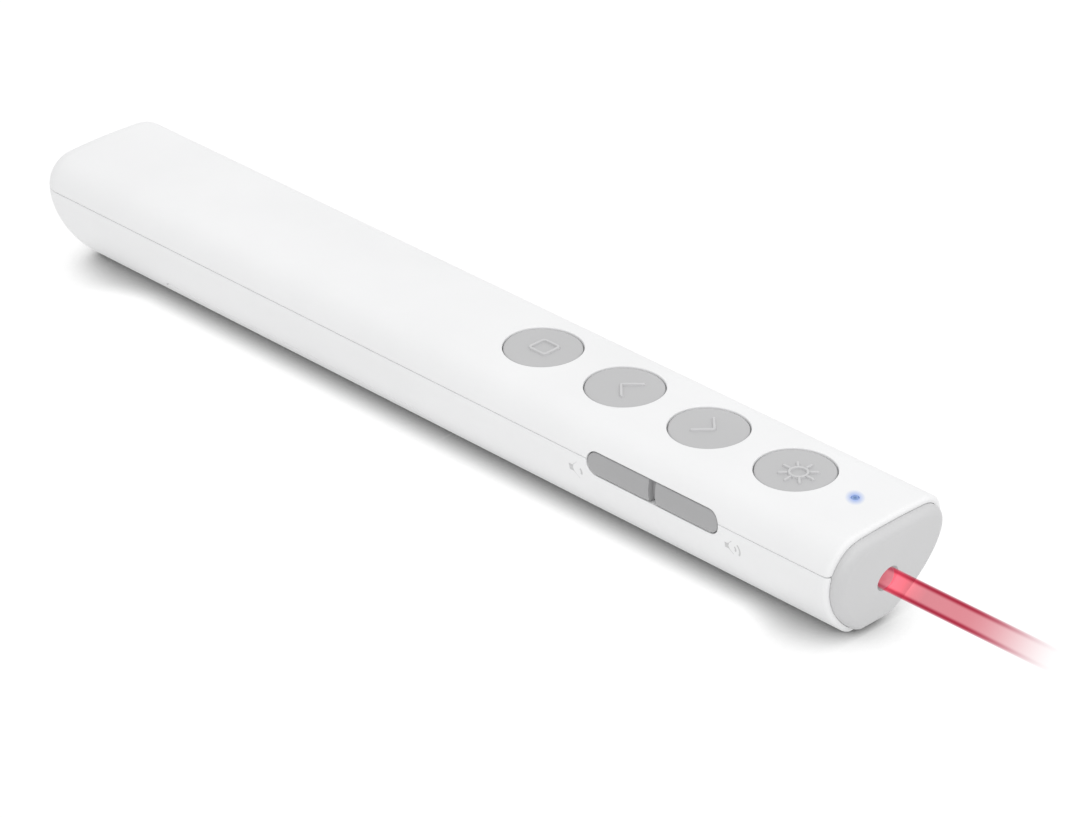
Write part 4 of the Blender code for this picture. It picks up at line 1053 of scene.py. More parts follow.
class BuildCaseBottom(bpy.types.Operator):
    """Lower case half with the battery bay, the screw well and the rocker's slot"""
    bl_idname = "presenter.case_bottom"
    bl_label = "Case bottom"

    def execute(self, context):
        case = looks("case")
        bottom = new_piece("case_bottom_half",
                           case_half(False, case.seam_gap, case.rim_round))
        ribs = [rib("bay_wall", tail, nose, 0.0047, 0.0110) for tail, nose in BAY_WALLS]
        barrel = middle_of("laser_barrel")
        ribs += [rib("saddle", x, x + SADDLE_THICK, 0.0008, barrel.z) for x in SADDLE_PLACES]
        foot = (middle_of("case_screw").x, 0.0, 0.0)
        ribs.append(rod("screw_post", 0.00275, foot, Z_AXIS, 0.0008, 0.0070))
        carve(bottom, ribs, "UNION")
        tools = [rocker_slot(case.cut_round), cover_opening(case.cover_corner),
                 rod("screw_well", 0.00185, foot, Z_AXIS, -0.001, 0.0022),
                 rod("screw_bore", SCREW_BORE, foot, Z_AXIS, 0.0015, 0.0080, 28),
                 rod("barrel_bed", BARREL_BED, (0.0, 0.0, barrel.z), X_AXIS, 0.0620, 0.0685)]
        carve(bottom, tools)
        soften_cuts(bottom, CUT_SOFT, lambda point: point.z < 0.006)
        dress(bottom, "white_case", "case", ("bottom_shell",))
        return {"FINISHED"}


def rib(name, tail, nose, low, high):
    """A wall across the lower half between two heights, drawn in to the middle of the wall."""
    right = []
    for step in range(9):
        z = low + (high - low) * step / 8
        right.append((side_at(z, WALL * 0.6), z))
    outline = right + [(-y, z) for y, z in right[::-1]]
    return prism(name, outline, lambda u, v, depth: (depth, u, v), tail, nose)


def cover_opening(corner):
    """The space that the cover and its gap fill, seen from the side."""
    outline = [(OPENING_TAIL, -0.002)]
    for middle, first in ((OPENING_TAIL + corner, 180.0), (OPENING_NOSE - corner, 90.0)):
        for step in range(9):
            angle = math.radians(first - 90.0 * step / 8)
            outline.append((middle + corner * math.cos(angle),
                            COVER_HEIGHT - corner + corner * math.sin(angle)))
    outline.append((OPENING_NOSE, -0.002))
    return prism("cover_opening", outline, on_side, -0.012, 0.012)


class BuildCover(bpy.types.Operator):
    """Battery cover that closes the bay, with its grip grooves and its hinge tongue"""
    bl_idname = "presenter.cover"
    bl_label = "Battery cover"

    def execute(self, context):
        case = looks("case")
        gap, corner, soft = case.cover_gap, case.cover_corner, COVER_SOFT
        tail, nose, top = OPENING_TAIL + gap, OPENING_NOSE - 2 * gap, COVER_HEIGHT - gap
        start = math.acos(1 - soft / corner)
        turns = [start + (math.pi / 2 - start) * step / 8 for step in range(9)]
        rises = [(corner * (1 - math.cos(turn)), top - corner * (1 - math.sin(turn)))
                 for turn in turns]
        stations = [(tail + run, level) for run, level in rises]
        stations += [(tail + (nose - tail) * share, top) for share in (0.25, 0.5, 0.75)]
        stations += [(nose - run, level) for run, level in reversed(rises)]

        def ring(x, level, outset=0.0):
            outer = half_line(False, outset, level - soft)
            inner = half_line(False, WALL, max(level - 0.00005, WALL * 1.2))
            side, deep = outer[-1][0], inner[-1][0]
            rim = soft_rim(side, level, soft) + [(deep + 0.00003, level - 0.00001)]
            return ring_of(lambda y, z, index: (x, y, z), outer, rim, inner)

        rings = [ring(tail, stations[0][1] - 2 * soft, soft)]
        rings += [ring(x, level) for x, level in stations]
        rings.append(ring(nose, stations[-1][1] - 2 * soft, soft))
        shape = bmesh.new()
        rows = skin_through(shape, rings)
        half = 2 * (CURVE_STEPS + 2) + 1
        rim_end = half + len(RIM_ANGLES) + 1
        for row in (rows[0], rows[-1]):
            outer, inner = row[:half], row[rim_end:rim_end + half][::-1]
            quads(shape, outer, inner, closed=False)
            shape.faces.new([outer[-1]] + row[half:rim_end] + [inner[-1]])
            shape.faces.new([outer[0], inner[0]] + row[rim_end + half:])
        cover = new_piece("bay_cover", shape)
        root = nose - 0.002
        joined = [solid_block("riser", (root, -0.002, 0.0009), (nose - 0.0001, 0.002, 0.0026)),
                  solid_block("tongue", (root, -0.002, 0.0018), (0.0019, 0.002, 0.0026))]
        for side in (-1, 1):
            joined.append(solid_block("rail", (tail + 0.0015, side * 0.0030 - 0.0004, 0.0009),
                                      (nose - 0.0025, side * 0.0030 + 0.0004, 0.0021)))
        for end in (tail + 0.0005, nose - 0.0015):
            joined.append(rib("end_wall", end, end + 0.001, 0.0008, 0.0024))
        carve(cover, joined, "UNION")
        places = [(tail + 0.0040 + 0.0014 * index, 0.0, -0.00035)
                  for index in range(GRIP_GROOVES)]
        carve(cover, [rod("groove", 0.0006, place, Y_AXIS, -0.0022, 0.0022, 24)
                      for place in places])
        soften_cuts(cover, CUT_SOFT)
        dress(cover, "white_case", "cover", ("battery_cover",))
        return {"FINISHED"}


class BuildNoseCap(bpy.types.Operator):
    """Domed nose cap with the laser's opening"""
    bl_idname = "presenter.nose_cap"
    bl_label = "Nose cap"

    def execute(self, context):
        steps = [(PLUG_BACK_X, 0.0022), (PLUG_BACK_X + 0.0003, 0.0018),
                 (PARTING_X - 0.0006, 0.0018), (PARTING_X - 0.0005, CAP_INSET),
                 (FACE_X - CAP_EDGE, CAP_INSET)]
        steps += [(FACE_X - CAP_EDGE * back, CAP_INSET + CAP_EDGE * inward)
                  for inward, back in quarter(10)[1:]]
        rings = []
        for x, inset in steps:
            half = half_line(True, inset, SEAM)
            low = half_line(False, inset, SEAM)
            loop = both_sides(half) + low[::-1][1:]
            loop += [(-y, z) for y, z in low[1:-1]]
            rings.append([(x + NOSE_LEAN * (z - MIDDLE_Z), y, z) for y, z in loop])
        shape = bmesh.new()
        loft(shape, rings)
        cap = new_piece("nose_cap_domed", shape)
        line = (0.0, 0.0, middle_of("laser_barrel").z)
        carve(cap, [rod("barrel_seat", BARREL_BED, line, X_AXIS, 0.069, 0.0713),
                    rod("opening", APERTURE, line, X_AXIS, 0.0712, 0.0770, 96)])
        soften_cuts(cap, APERTURE_SOFT, lambda point: point.x > FACE_X - 0.0008)
        dress(cap, "grey_cap", "case", ("nose_cap",))
        return {"FINISHED"}


# Keys, rocker, light and marks


def symbol_lines(kind):
    """The flat lines of a key's symbol, each with a word on whether it closes, and its shift."""
    if kind == "square":
        flat = rounded_rectangle(SQUARE_HALF, SQUARE_HALF, SQUARE_CORNER, steps=6)
        return [(flat, True)], (SQUARE_AHEAD, 0.0)
    if kind == "sun":
        ring = [math.tau * step / 40 for step in range(40)]
        lines = [([(SUN_RING * math.cos(angle), SUN_RING * math.sin(angle))
                   for angle in ring], True)]
        for angle in ring[::5]:
            lines.append(([(run * math.cos(angle), run * math.sin(angle))
                           for run in SUN_RAYS], False))
        return lines, SUN_SHIFT
    sign = 1.0 if kind == "next" else -1.0
    corner = []
    for step in range(7):
        angle = math.radians(-45.0 + 90.0 * step / 6)
        ahead = CHEVRON_TIP - 0.0005 + CHEVRON_BEND * math.cos(angle) + CHEVRON_BEND
        corner.append((sign * ahead, CHEVRON_BEND * math.sin(angle)))
    back = sign * (CHEVRON_TIP - CHEVRON_ARM)
    flat = [(back, -CHEVRON_ARM)] + corner + [(back, CHEVRON_ARM)]
    return [(flat, False)], (CHEVRON_AHEAD[kind], 0.0)


def key_symbol(kind, centre_x, width, height):
    """The raised lines of one key's symbol, over the crowned top."""
    lines, (ahead, aside) = symbol_lines(kind)
    shape = bmesh.new()
    for flat, closed in lines:
        path = [(centre_x + ahead + u, v + aside, top_at(v + aside) - KEY_SINK)
                for u, v in flat]
        ridge(shape, path if closed else finer(path), width, height, closed)
    return shape


def finer(path):
    """The same path with a point in the middle of each long run."""
    made = [Vector(path[0])]
    for point in path[1:]:
        spot = Vector(point)
        pieces = max(1, int((spot - made[-1]).length / 0.0004))
        start = made[-1]
        for step in range(1, pieces + 1):
            made.append(start.lerp(spot, step / pieces))
    return made


class BuildKeys(bpy.types.Operator):
    """Four round keys flush with the top, each with a raised symbol, a flange and a stem"""
    bl_idname = "presenter.keys"
    bl_label = "Keys"

    def execute(self, context):
        style = looks("keys")
        soft = style.edge_round
        for name, kind in KEYS.items():
            node = name + "_button"
            spot = middle_of(node)
            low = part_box(node)[0].z
            top = HEIGHT - KEY_SINK
            profile = [(0.0, top), (0.0014, top), (0.0028, top), (0.0042, top)]
            profile += [(KEY_RADIUS - soft * inward, top - soft * down)
                        for down, inward in quarter(4)]
            profile += [(KEY_RADIUS, 0.0156), (KEY_RADIUS, 0.0154), (KEY_FLANGE, 0.01538),
                        (KEY_FLANGE, 0.0146), (0.0021, 0.0146), (0.0018, 0.0143),
                        (0.0016, low + 0.0002), (0.0014, low), (0.0, low)]
            shape = bmesh.new()
            lathe(shape, profile, (spot.x, 0.0, 0.0), Z_AXIS, 96)
            crown(shape, top - 0.001)
            dress(new_piece(name + "_key_top", shape), "grey_key", name + "_key", (node,))
            lines = key_symbol(kind, spot.x, style.symbol_width, style.symbol_height)
            dress(new_piece(name + "_key_symbol", lines), "pale_symbol", name + "_key")
        return {"FINISHED"}


class BuildRocker(bpy.types.Operator):
    """Side rocker whose face follows the case, with the groove between its halves"""
    bl_idname = "presenter.rocker"
    bl_label = "Side rocker"

    def execute(self, context):
        spot = middle_of("side_rocker")
        spot.z = ROCKER_MIDDLE_Z
        half_u, half_v = ROCKER_HALF_LENGTH, ROCKER_HALF_HEIGHT
        marks = [GROOVE_HALF * share for share in GROOVE_MARKS]

        def face_y(u, v, sink):
            reach = abs(u) / GROOVE_HALF
            groove = GROOVE_DEPTH * min(1.0, max(0.0, (1.0 - reach) / 0.2))
            slope = GROOVE_SLOPE * min(1.0, max(0.0, (GROOVE_REACH - reach)
                                                / (GROOVE_REACH - 1.0)))
            return -(side_at(spot.z + v) - sink - groove - slope)

        def ring(draw, sink):
            flat = rounded_rectangle(half_u - draw, half_v - draw, ROCKER_CORNER - draw, marks)
            return [(spot.x + u, face_y(u, v, sink), spot.z + v) for u, v in flat]

        outline = rounded_rectangle(half_u, half_v, ROCKER_CORNER, marks)
        rings = [[(spot.x + u, ROCKER_BACK, spot.z + v) for u, v in outline]]
        rings += [ring(ROCKER_SOFT * draw, ROCKER_SOFT * sink + ROCKER_SINK)
                  for draw, sink in quarter(4)]
        rings += [ring(draw, ROCKER_SINK) for draw in (0.0006, 0.0010, 0.00142)]
        shape = bmesh.new()
        rows = skin_through(shape, rings)
        shape.faces.new(rows[0])
        close_strip(shape, rows[-1], len(marks))
        rocker = new_piece("rocker_bar", shape)
        pushers = []
        for side in (-1, 1):
            middle = spot.x + side * PUSHER_ASIDE
            pushers.append(solid_block("pusher", (middle - 0.001, -0.0090, spot.z - 0.0008),
                                       (middle + 0.001, -0.0081, spot.z + 0.0008), 0.0001))
        pivot = (spot.x, PIVOT_Y, 0.0)
        pushers.append(rod("boss", 0.0013, pivot, Z_AXIS, 0.0117, 0.0132, 48))
        pushers.append(solid_block("boss_neck", (spot.x - 0.0008, -0.0090, 0.0117),
                                   (spot.x + 0.0008, -0.0080, 0.0132)))
        carve(rocker, pushers, "UNION")
        carve(rocker, [rod("pin_hole", 0.00052, pivot, Z_AXIS, 0.0110, 0.0140, 32)])
        dress(rocker, "grey_rocker", "rocker", ("side_rocker",), sharp=24.0)
        return {"FINISHED"}


def close_strip(shape, row, marks):
    """Faces across the inside of a rounded rectangle's last ring, from its top to its bottom."""
    corner = 9
    right_low = row[:corner]
    right_high = row[corner:2 * corner]
    upper = row[2 * corner:2 * corner + marks]
    left_high = row[2 * corner + marks:3 * corner + marks]
    left_low = row[3 * corner + marks:4 * corner + marks]
    lower = row[4 * corner + marks:]
    top = [right_high[-1]] + upper + [left_high[0]]
    bottom = [right_low[0]] + lower[::-1] + [left_low[-1]]
    quads(shape, top, bottom, closed=False)
    shape.faces.new(right_low + right_high)
    shape.faces.new(left_high + left_low)


class BuildLight(bpy.types.Operator):
    """Clear pin of the indicator light, flush with the top"""
    bl_idname = "presenter.light"
    bl_label = "Indicator light"

    def execute(self, context):
        low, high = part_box("indicator_light_pipe")
        spot = (low + high) / 2
        top = HEIGHT - 0.00004
        profile = [(0.0, top + 0.00003), (0.00025, top + 0.00002), (0.00044, top),
                   (0.0005, top - 0.00006), (0.0005, 0.0154), (0.0011, 0.0154),
                   (0.0011, 0.0148), (0.0005, 0.0148), (0.0005, low.z + 0.0001),
                   (0.0004, low.z), (0.0, low.z)]
        shape = bmesh.new()
        lathe(shape, profile, (spot.x, 0.0, 0.0), Z_AXIS, 48)
        pin = new_piece("light_pin", shape)
        dress(pin, "clear_pin", "case", ("indicator_light_pipe",))
        return {"FINISHED"}


def printed(name, outlines, centre):
    """Thin ink shapes on the case's side, from flat outlines about a centre."""
    shape = bmesh.new()
    for outline in outlines:
        rings = []
        for sink in (0.00003, -0.000012):
            rings.append([(centre[0] + u, -(side_at(centre[1] + v) - sink), centre[1] + v)
                          for u, v in outline])
        loft(shape, rings)
    return new_piece(name, shape)


def arc_band(middle_u, radius, width, spread_angle, steps=10):
    """A curved bar about a point on the symbol's middle line."""
    turns = [math.radians(-spread_angle + 2 * spread_angle * step / steps)
             for step in range(steps + 1)]
    outer, inner = ([(middle_u + reach * math.cos(turn), reach * math.sin(turn))
                     for turn in turns] for reach in (radius + width / 2, radius - width / 2))
    return [outer[step:step + 2] + inner[step:step + 2][::-1] for step in range(steps)]


class BuildMarks(bpy.types.Operator):
    """Small printed loudspeaker symbols at the two ends of the rocker"""
    bl_idname = "presenter.marks"
    bl_label = "Printed marks"

    def execute(self, context):
        spot = middle_of("side_rocker")
        body = [[(-0.0008, -0.0003), (-0.0004, -0.0003), (-0.0004, 0.0003), (-0.0008, 0.0003)],
                [(-0.0004, -0.0003), (0.0001, -0.0008), (0.0001, 0.0008), (-0.0004, 0.0003)]]
        places = (("quieter_mark", spot.x - 0.01335, (0.0004,), 1.7),
                  ("louder_mark", spot.x + 0.0136, (0.0004, 0.0009), 1.4))
        for name, x, arcs, size in places:
            outlines = list(body)
            for radius in arcs:
                outlines += arc_band(0.0001, radius, 0.00018, 42.0)
            outlines = [[(u * size, v * size) for u, v in outline] for outline in outlines]
            dress(printed(name, outlines, (x, MARK_Z)), "grey_ink", "case")
        return {"FINISHED"}


# Battery bay


def turned(name, profile, place, along, steps=SMALL_STEPS, closed=False):
    """A turned piece, ready to dress."""
    shape = bmesh.new()
    lathe(shape, profile, place, along, steps, closed)
    return new_piece(name, shape)


class BuildCell(bpy.types.Operator):
    """The cell: a steel can with a crimped nub, in a plain printed sleeve"""
    bl_idname = "presenter.cell"
    bl_label = "Cell"

    def execute(self, context):
        low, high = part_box("battery_cell")
        place = (low.x, 0.0, (low.z + high.z) / 2)
        size = high.x - low.x
        can = [(0.0, 0.00025), (0.0030, 0.00025), (0.0034, 0.0), (0.0044, 0.0),
               (0.0047, 0.0003), (0.0050, 0.0009), (0.00512, 0.0012),
               (0.00512, size - 0.0022), (0.0049, size - 0.0016), (0.0046, size - 0.00125),
               (0.0042, size - 0.0012), (0.0040, size - 0.0014), (0.0030, size - 0.0014),
               (0.0023, size - 0.0013), (0.0020, size - 0.0010), (0.0019, size - 0.0003),
               (0.0017, size), (0.0, size)]
        steel = turned("cell_can", can, place, X_AXIS, 96)
        dress(steel, "bright_steel", "case")
        outer, inner = 0.00525, 0.00515
        sleeve = [(outer, 0.0006), (outer, size - 0.0017), (0.0050, size - 0.00118),
                  (0.0046, size - 0.00106), (0.0046, size - 0.0012),
                  (0.00495, size - 0.0014), (inner, size - 0.0020), (inner, 0.0008),
                  (0.0049, 0.0004), (0.0045, 0.0003), (0.0045, 0.00015), (0.0050, 0.0002)]
        wrap = turned("cell_sleeve", sleeve, place, X_AXIS, 96, closed=True)
        dress(wrap, "cell_print", "case", ("battery_cell",))
        return {"FINISHED"}


class BuildSpring(bpy.types.Operator):
    """Coil spring behind the cell, with a closed turn at each end"""
    bl_idname = "presenter.spring"
    bl_label = "Cell spring"

    def execute(self, context):
        low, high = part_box("battery_spring")
        wire = SPRING_WIRE
        middle = middle_of("battery_cell").z
        first, last = low.x + wire, high.x - wire
        path = []
        count = int(SPRING_TURNS * 40)
        for step in range(count + 1):
            share = step / count
            angle = math.tau * SPRING_TURNS * share
            radius = SPRING_WIDE + (SPRING_NARROW - SPRING_WIDE) * share
            run = min(max((share * SPRING_TURNS - 0.7) / (SPRING_TURNS - 1.4), 0.0), 1.0)
            path.append((first + (last - first) * run, radius * math.cos(angle),
                         middle + radius * math.sin(angle)))
        shape = bmesh.new()
        tube(shape, path, wire, 14)
        dress(new_piece("cell_spring", shape), "bright_steel", "case", ("battery_spring",))
        return {"FINISHED"}


class BuildContacts(bpy.types.Operator):
    """Pressed contact plates at both ends of the cell, with ribs, dimple and solder tabs"""
    bl_idname = "presenter.contacts"
    bl_label = "Cell contacts"

    def execute(self, context):
        cell_z = middle_of("battery_cell").z
        for name, lead_side in (("negative", 1), ("positive", -1)):
            node = "battery_%s_contact" % name
            low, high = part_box(node)
            back = high.x
            front = back - CONTACT_THICKNESS
            half_y = (high.y - low.y) / 2
            half_z = (high.z - low.z - 0.0008) / 2
            mid_z = low.z + half_z
            outline = [(u, mid_z + v) for u, v in rounded_rectangle(half_y, half_z, 0.0012)]
            plate = prism(name + "_plate", outline, lambda u, v, depth: (depth, u, v),
                          front + 0.00005, back - 0.00005)
            tab_y = lead_side * 0.0020
            extras = [solid_block("tab", (front + 0.00005, tab_y - 0.0008, high.z - 0.0016),
                                  (back - 0.00005, tab_y + 0.0008, high.z), 0.0001)]
            for side in (-1, 1):
                extras.append(solid_block(
                    "rib", (front - 0.00001, side * 0.0031 - 0.0002, mid_z - 0.0026),
                    (back - 0.0001, side * 0.0031 + 0.0002, mid_z + 0.0026), 0.0001))
            if name == "positive":
                wide, tall = DIMPLE
                turns = [math.pi / 2 * step / 8 for step in range(9)]
                dome = [(wide * math.sin(turn), -tall * math.cos(turn)) for turn in turns]
                extras.append(turned("dimple", dome + [(wide, 0.0002), (0.0, 0.0002)],
                                     (front, 0.0, cell_z), X_AXIS))
            carve(plate, extras, "UNION")
            dress(plate, "tinned_plate", "case", (node,))
        return {"FINISHED"}


def smooth_route(stops, steps):
    """Points on one smooth curve through the stops."""
    spots = [Vector(stop) for stop in stops]
    padded = [spots[0]] + spots + [spots[-1]]
    route = [spots[0]]
    for before, start, end, after in zip(padded, padded[1:], padded[2:], padded[3:]):
        leaving = start + (end - before) / 6
        arriving = end - (after - start) / 6
        for step in range(1, steps + 1):
            t = step / steps
            s = 1.0 - t
            route.append(start * s ** 3 + leaving * 3 * s * s * t
                         + arriving * 3 * s * t * t + end * t ** 3)
    return route


class BuildLeads(bpy.types.Operator):
    """Two insulated leads from the contacts to the board, with tinned and soldered ends"""
    bl_idname = "presenter.leads"
    bl_label = "Cell leads"

    def execute(self, context):
        for name, stops in LEAD_STOPS.items():
            route = smooth_route([tuple(part / 1000 for part in stop) for stop in stops], 14)
            cover = bmesh.new()
            tube(cover, route[4:-5], LEAD_RADIUS, 20)
            node = "battery_lead_" + name
            finish = "black_lead" if name == "negative" else "red_lead"
            dress(new_piece(name + "_lead", cover), finish, "case", (node,))
            strand = bmesh.new()
            tube(strand, route[:6], LEAD_RADIUS * 0.55, 12)
            tube(strand, route[-7:], LEAD_RADIUS * 0.55, 12)
            for end, rise in ((route[0], -0.0002), (route[-1], -0.0004)):
                profile = [(0.0, 0.0005), (0.0003, 0.00045), (0.0005, 0.0002), (0.0006, 0.0),
                           (0.0, 0.0)]
                lathe(strand, profile, end + Vector((0.0, 0.0, rise)), Z_AXIS, 20)
            dress(new_piece(name + "_lead_ends", strand), "tinned_plate", "case")
        return {"FINISHED"}


# Laser module


class BuildLaser(bpy.types.Operator):
    """Turned brass barrel with its lens, its diode and the diode's leads"""
    bl_idname = "presenter.laser"
    bl_label = "Laser module"

    def execute(self, context):
        low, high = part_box("laser_barrel")
        z = (low.z + high.z) / 2
        outer = (high.z - low.z) / 2
        nose = (high.x, 0.0, z)
        size = high.x - low.x
        bore = 0.0014
        profile = [(bore + 0.00015, 0.0), (outer - 0.0002, 0.0), (outer, -0.0002)]
        for index in range(8):
            run = -0.0024 - index * 0.0003
            profile += [(outer, run), (outer - 0.00008, run - 0.0001),
                        (outer - 0.00008, run - 0.00018), (outer, run - 0.00028)]
        profile += [(outer, -size + 0.0002), (outer - 0.0002, -size), (bore, -size),
                    (bore, -0.00015)]
        barrel = turned("brass_barrel", profile, nose, X_AXIS, 96, closed=True)
        dress(barrel, "turned_brass", "case", ("laser_barrel",))
        low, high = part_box("laser_lens")
        radius = (high.z - low.z) / 2
        thick = high.x - low.x
        shares = [step / 10 for step in range(11)]
        profile = [(radius * share, -0.00028 * share * share) for share in shares]
        profile += [(radius, -thick + 0.00008), (radius - 0.00008, -thick), (0.0, -thick)]
        lens = turned("collimating_lens", profile, (high.x, 0.0, z), X_AXIS, 64)
        dress(lens, "lens_glass", "case", ("laser_lens",))
        holder = [(radius + 0.00002, -0.0001), (bore - 0.00002, -0.0001),
                  (bore - 0.00002, -thick - 0.0002), (radius - 0.0003, -thick - 0.0002),
                  (radius - 0.0003, -thick - 0.00003), (radius + 0.00002, -thick - 0.00003)]
        ring = turned("lens_holder", holder, (high.x, 0.0, z), X_AXIS, 64, closed=True)
        dress(ring, "black_moulding", "case")
        low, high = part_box("laser_diode")
        size = high.x - low.x
        flange = (high.z - low.z) / 2
        profile = [(0.0, 0.0), (0.0005, 0.0), (0.00052, -0.00008), (0.00095, -0.00008),
                   (0.0011, -0.0002), (0.0011, -size + 0.00062), (0.00125, -size + 0.0006),
                   (flange - 0.00006, -size + 0.0006), (flange, -size + 0.00054),
                   (flange, -size + 0.00006), (flange - 0.00006, -size), (0.0, -size)]
        diode = turned("diode_can", profile, (high.x, 0.0, z), X_AXIS, 64)
        dress(diode, "gilt_can", "case", ("laser_diode",))
        for name in ("left", "right"):
            node = "laser_lead_" + name
            low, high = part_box(node)
            wire = (high.y - low.y) / 2
            y = (low.y + high.y) / 2
            turn = low.x + wire
            stops = [(high.x, y, z), ((high.x + turn) / 2, y, z),
                     (turn, y, (z + high.z) / 2), (turn, y, high.z)]
            shape = bmesh.new()
            tube(shape, smooth_route(stops, 10), wire, 14)
            dress(new_piece("diode_wire_" + name, shape), "tinned_plate", "case", (node,))
        return {"FINISHED"}


# Board and what stands on it


class BuildScrews(bpy.types.Operator):
    """Four pan head screws with thread and cross recess"""
    bl_idname = "presenter.screws"
    bl_label = "Screws"

    def execute(self, context):
        for node in ("case_screw", *BOARD_SCREWS):
            low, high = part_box(node)
            x, y = (low.x + high.x) / 2, (low.y + high.y) / 2
            head = (high.x - low.x) / 2
            size = high.z - low.z
            profile = [(0.0, 0.0)]
            for step in range(7):
                angle = math.radians(15 + 75 * step / 6)
                profile.append((head * math.sin(angle) ** 0.8, 0.0007 * (1 - math.cos(angle))))
            profile += [(head, 0.0008), (head - 0.00006, 0.0010), (SHANK, 0.0010)]
            for index in range(int((size - 0.0020) / THREAD_PITCH)):
                run = 0.0012 + index * THREAD_PITCH
                profile += [(SHANK - 0.00016, run), (SHANK - 0.00016, run + 0.00015),
                            (SHANK, run + 0.00028), (SHANK, run + 0.00034)]
            profile += [(SHANK * 0.8, size - 0.0007), (0.0001, size), (0.0, size)]
            screw = turned(node + "_cross", profile, (x, y, low.z), Z_AXIS, 40)
            tools = []
            for index in range(2):
                shape = bmesh.new()
                turn = Matrix.Rotation(math.radians(45 + 90 * index), 3, "Z")
                block(shape, (x - 0.0009, y - 0.00016, low.z - 0.0005),
                      (x + 0.0009, y + 0.00016, low.z + 0.0006), 0.0, turn=turn)
                tools.append(new_piece("slot_%d" % index, shape))
            carve(screw, tools)
            dress(screw, "bright_steel", "case", (node,))
        return {"FINISHED"}


class BuildSwitches(bpy.types.Operator):
    """Push switches with steel covers, rivets and legs, and their plungers"""
    bl_idname = "presenter.switches"
    bl_label = "Switches"

    def execute(self, context):
        for name in KEYS:
            build_key_switch(name)
        for name in ("front_side", "rear_side"):
            build_side_switch(name)
        low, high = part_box("rocker_pivot_pin")
        radius = (high.x - low.x) / 2
        size = high.z - low.z
        profile = [(0.0, 0.0), (radius - 0.0001, 0.0), (radius, 0.0001),
                   (radius, size - 0.0001), (radius - 0.0001, size), (0.0, size)]
        middle = (low + high) / 2
        pin = turned("pivot_pin", profile, (middle.x, middle.y, low.z), Z_AXIS, 40)
        dress(pin, "bright_steel", "case", ("rocker_pivot_pin",))
        return {"FINISHED"}


def build_key_switch(name):
    """A push switch under one round key, and its plunger."""
    low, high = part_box(name + "_switch")
    middle = (low + high) / 2
    body = bmesh.new()
    block(body, (low.x + 0.0002, low.y + 0.0002, low.z),
          (high.x - 0.0002, high.y - 0.0002, high.z - 0.00015), 0.0003)
    lathe(body, [(0.0012, 0.0), (0.0015, 0.0), (0.0014, 0.00028), (0.0012, 0.00028)],
          (middle.x, middle.y, high.z - 0.0003), Z_AXIS, 32, closed=True)
    for side_u in (-1, 1):
        for side_v in (-1, 1):
            spot = (middle.x + side_u * 0.0021, middle.y + side_v * 0.0021, high.z - 0.0002)
            lathe(body, [(0.00035, 0.0), (0.00032, 0.00012), (0.0, 0.00018)], spot,
                  Z_AXIS, 16)
    dress(new_piece(name + "_switch_body", body), "black_moulding", "case",
          (name + "_switch",))
    metal = bmesh.new()
    for side in (-1, 1):
        for leg in (-1, 1):
            x = middle.x + leg * 0.0018
            foot = sorted((middle.y + side * 0.0022, middle.y + side * 0.0026))
            block(metal, (x - 0.0003, foot[0], low.z), (x + 0.0003, foot[1], low.z + 0.0002),
                  0.00004, 1)
    plate = prism("plate", [(middle.x + u, middle.y + v) for u, v in
                            rounded_rectangle(0.00235, 0.00235, 0.0003)],
                  lambda u, v, depth: (u, v, depth), high.z - 0.00022, high.z - 0.0001)
    legs = new_piece(name + "_switch_metal", metal)
    carve(legs, [plate], "UNION")
    dress(legs, "tinned_plate", "case")
    node = name + "_plunger"
    low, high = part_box(node)
    radius = (high.x - low.x) / 2
    size = high.z - low.z
    profile = [(0.0, size), (radius * 0.7, size - 0.00002), (radius - 0.0001, size - 0.00006),
               (radius, size - 0.00016), (radius, 0.0001), (radius - 0.0001, 0.0), (0.0, 0.0)]
    plunger = turned(name + "_switch_plunger", profile, (middle.x, middle.y, low.z),
                     Z_AXIS, 48)
    dress(plunger, "nylon", name + "_key", (node,))


def build_side_switch(name):
    """A lying push switch behind one half of the rocker, and its plunger."""
    low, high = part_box(name + "_switch")
    middle = (low + high) / 2
    body = bmesh.new()
    block(body, (low.x + 0.0002, low.y + 0.0002, low.z),
          (high.x - 0.0002, high.y, high.z - 0.0002), 0.0002)
    dress(new_piece(name + "_switch_body", body), "black_moulding", "case",
          (name + "_switch",))
    metal = bmesh.new()
    block(metal, (low.x, low.y + 0.0004, high.z - 0.0003), (high.x, high.y - 0.0001, high.z),
          0.0001)
    for end in (low.x + 0.0005, high.x - 0.0013):
        block(metal, (end, low.y, low.z + 0.0011),
              (end + 0.0008, low.y + 0.0003, high.z - 0.0001), 0.00005, 1)
    for end in (low.x, high.x - 0.0003):
        block(metal, (end, middle.y - 0.0005, low.z),
              (end + 0.0003, middle.y + 0.0005, high.z - 0.0002), 0.00005, 1)
    dress(new_piece(name + "_switch_frame", metal), "tinned_plate", "case")
    node = name + "_plunger"
    low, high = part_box(node)
    radius = (high.x - low.x) / 2
    size = high.y - low.y
    profile = [(0.0, 0.0), (radius - 0.0001, 0.00004), (radius, 0.00014),
               (radius, size - 0.0001), (radius - 0.0001, size), (0.0, size)]
    middle = (low + high) / 2
    plunger = turned(name + "_switch_plunger", profile, (middle.x, low.y, middle.z),
                     Y_AXIS, 40)
    dress(plunger, "nylon", name.split("_")[0] + "_plunger", (node,))


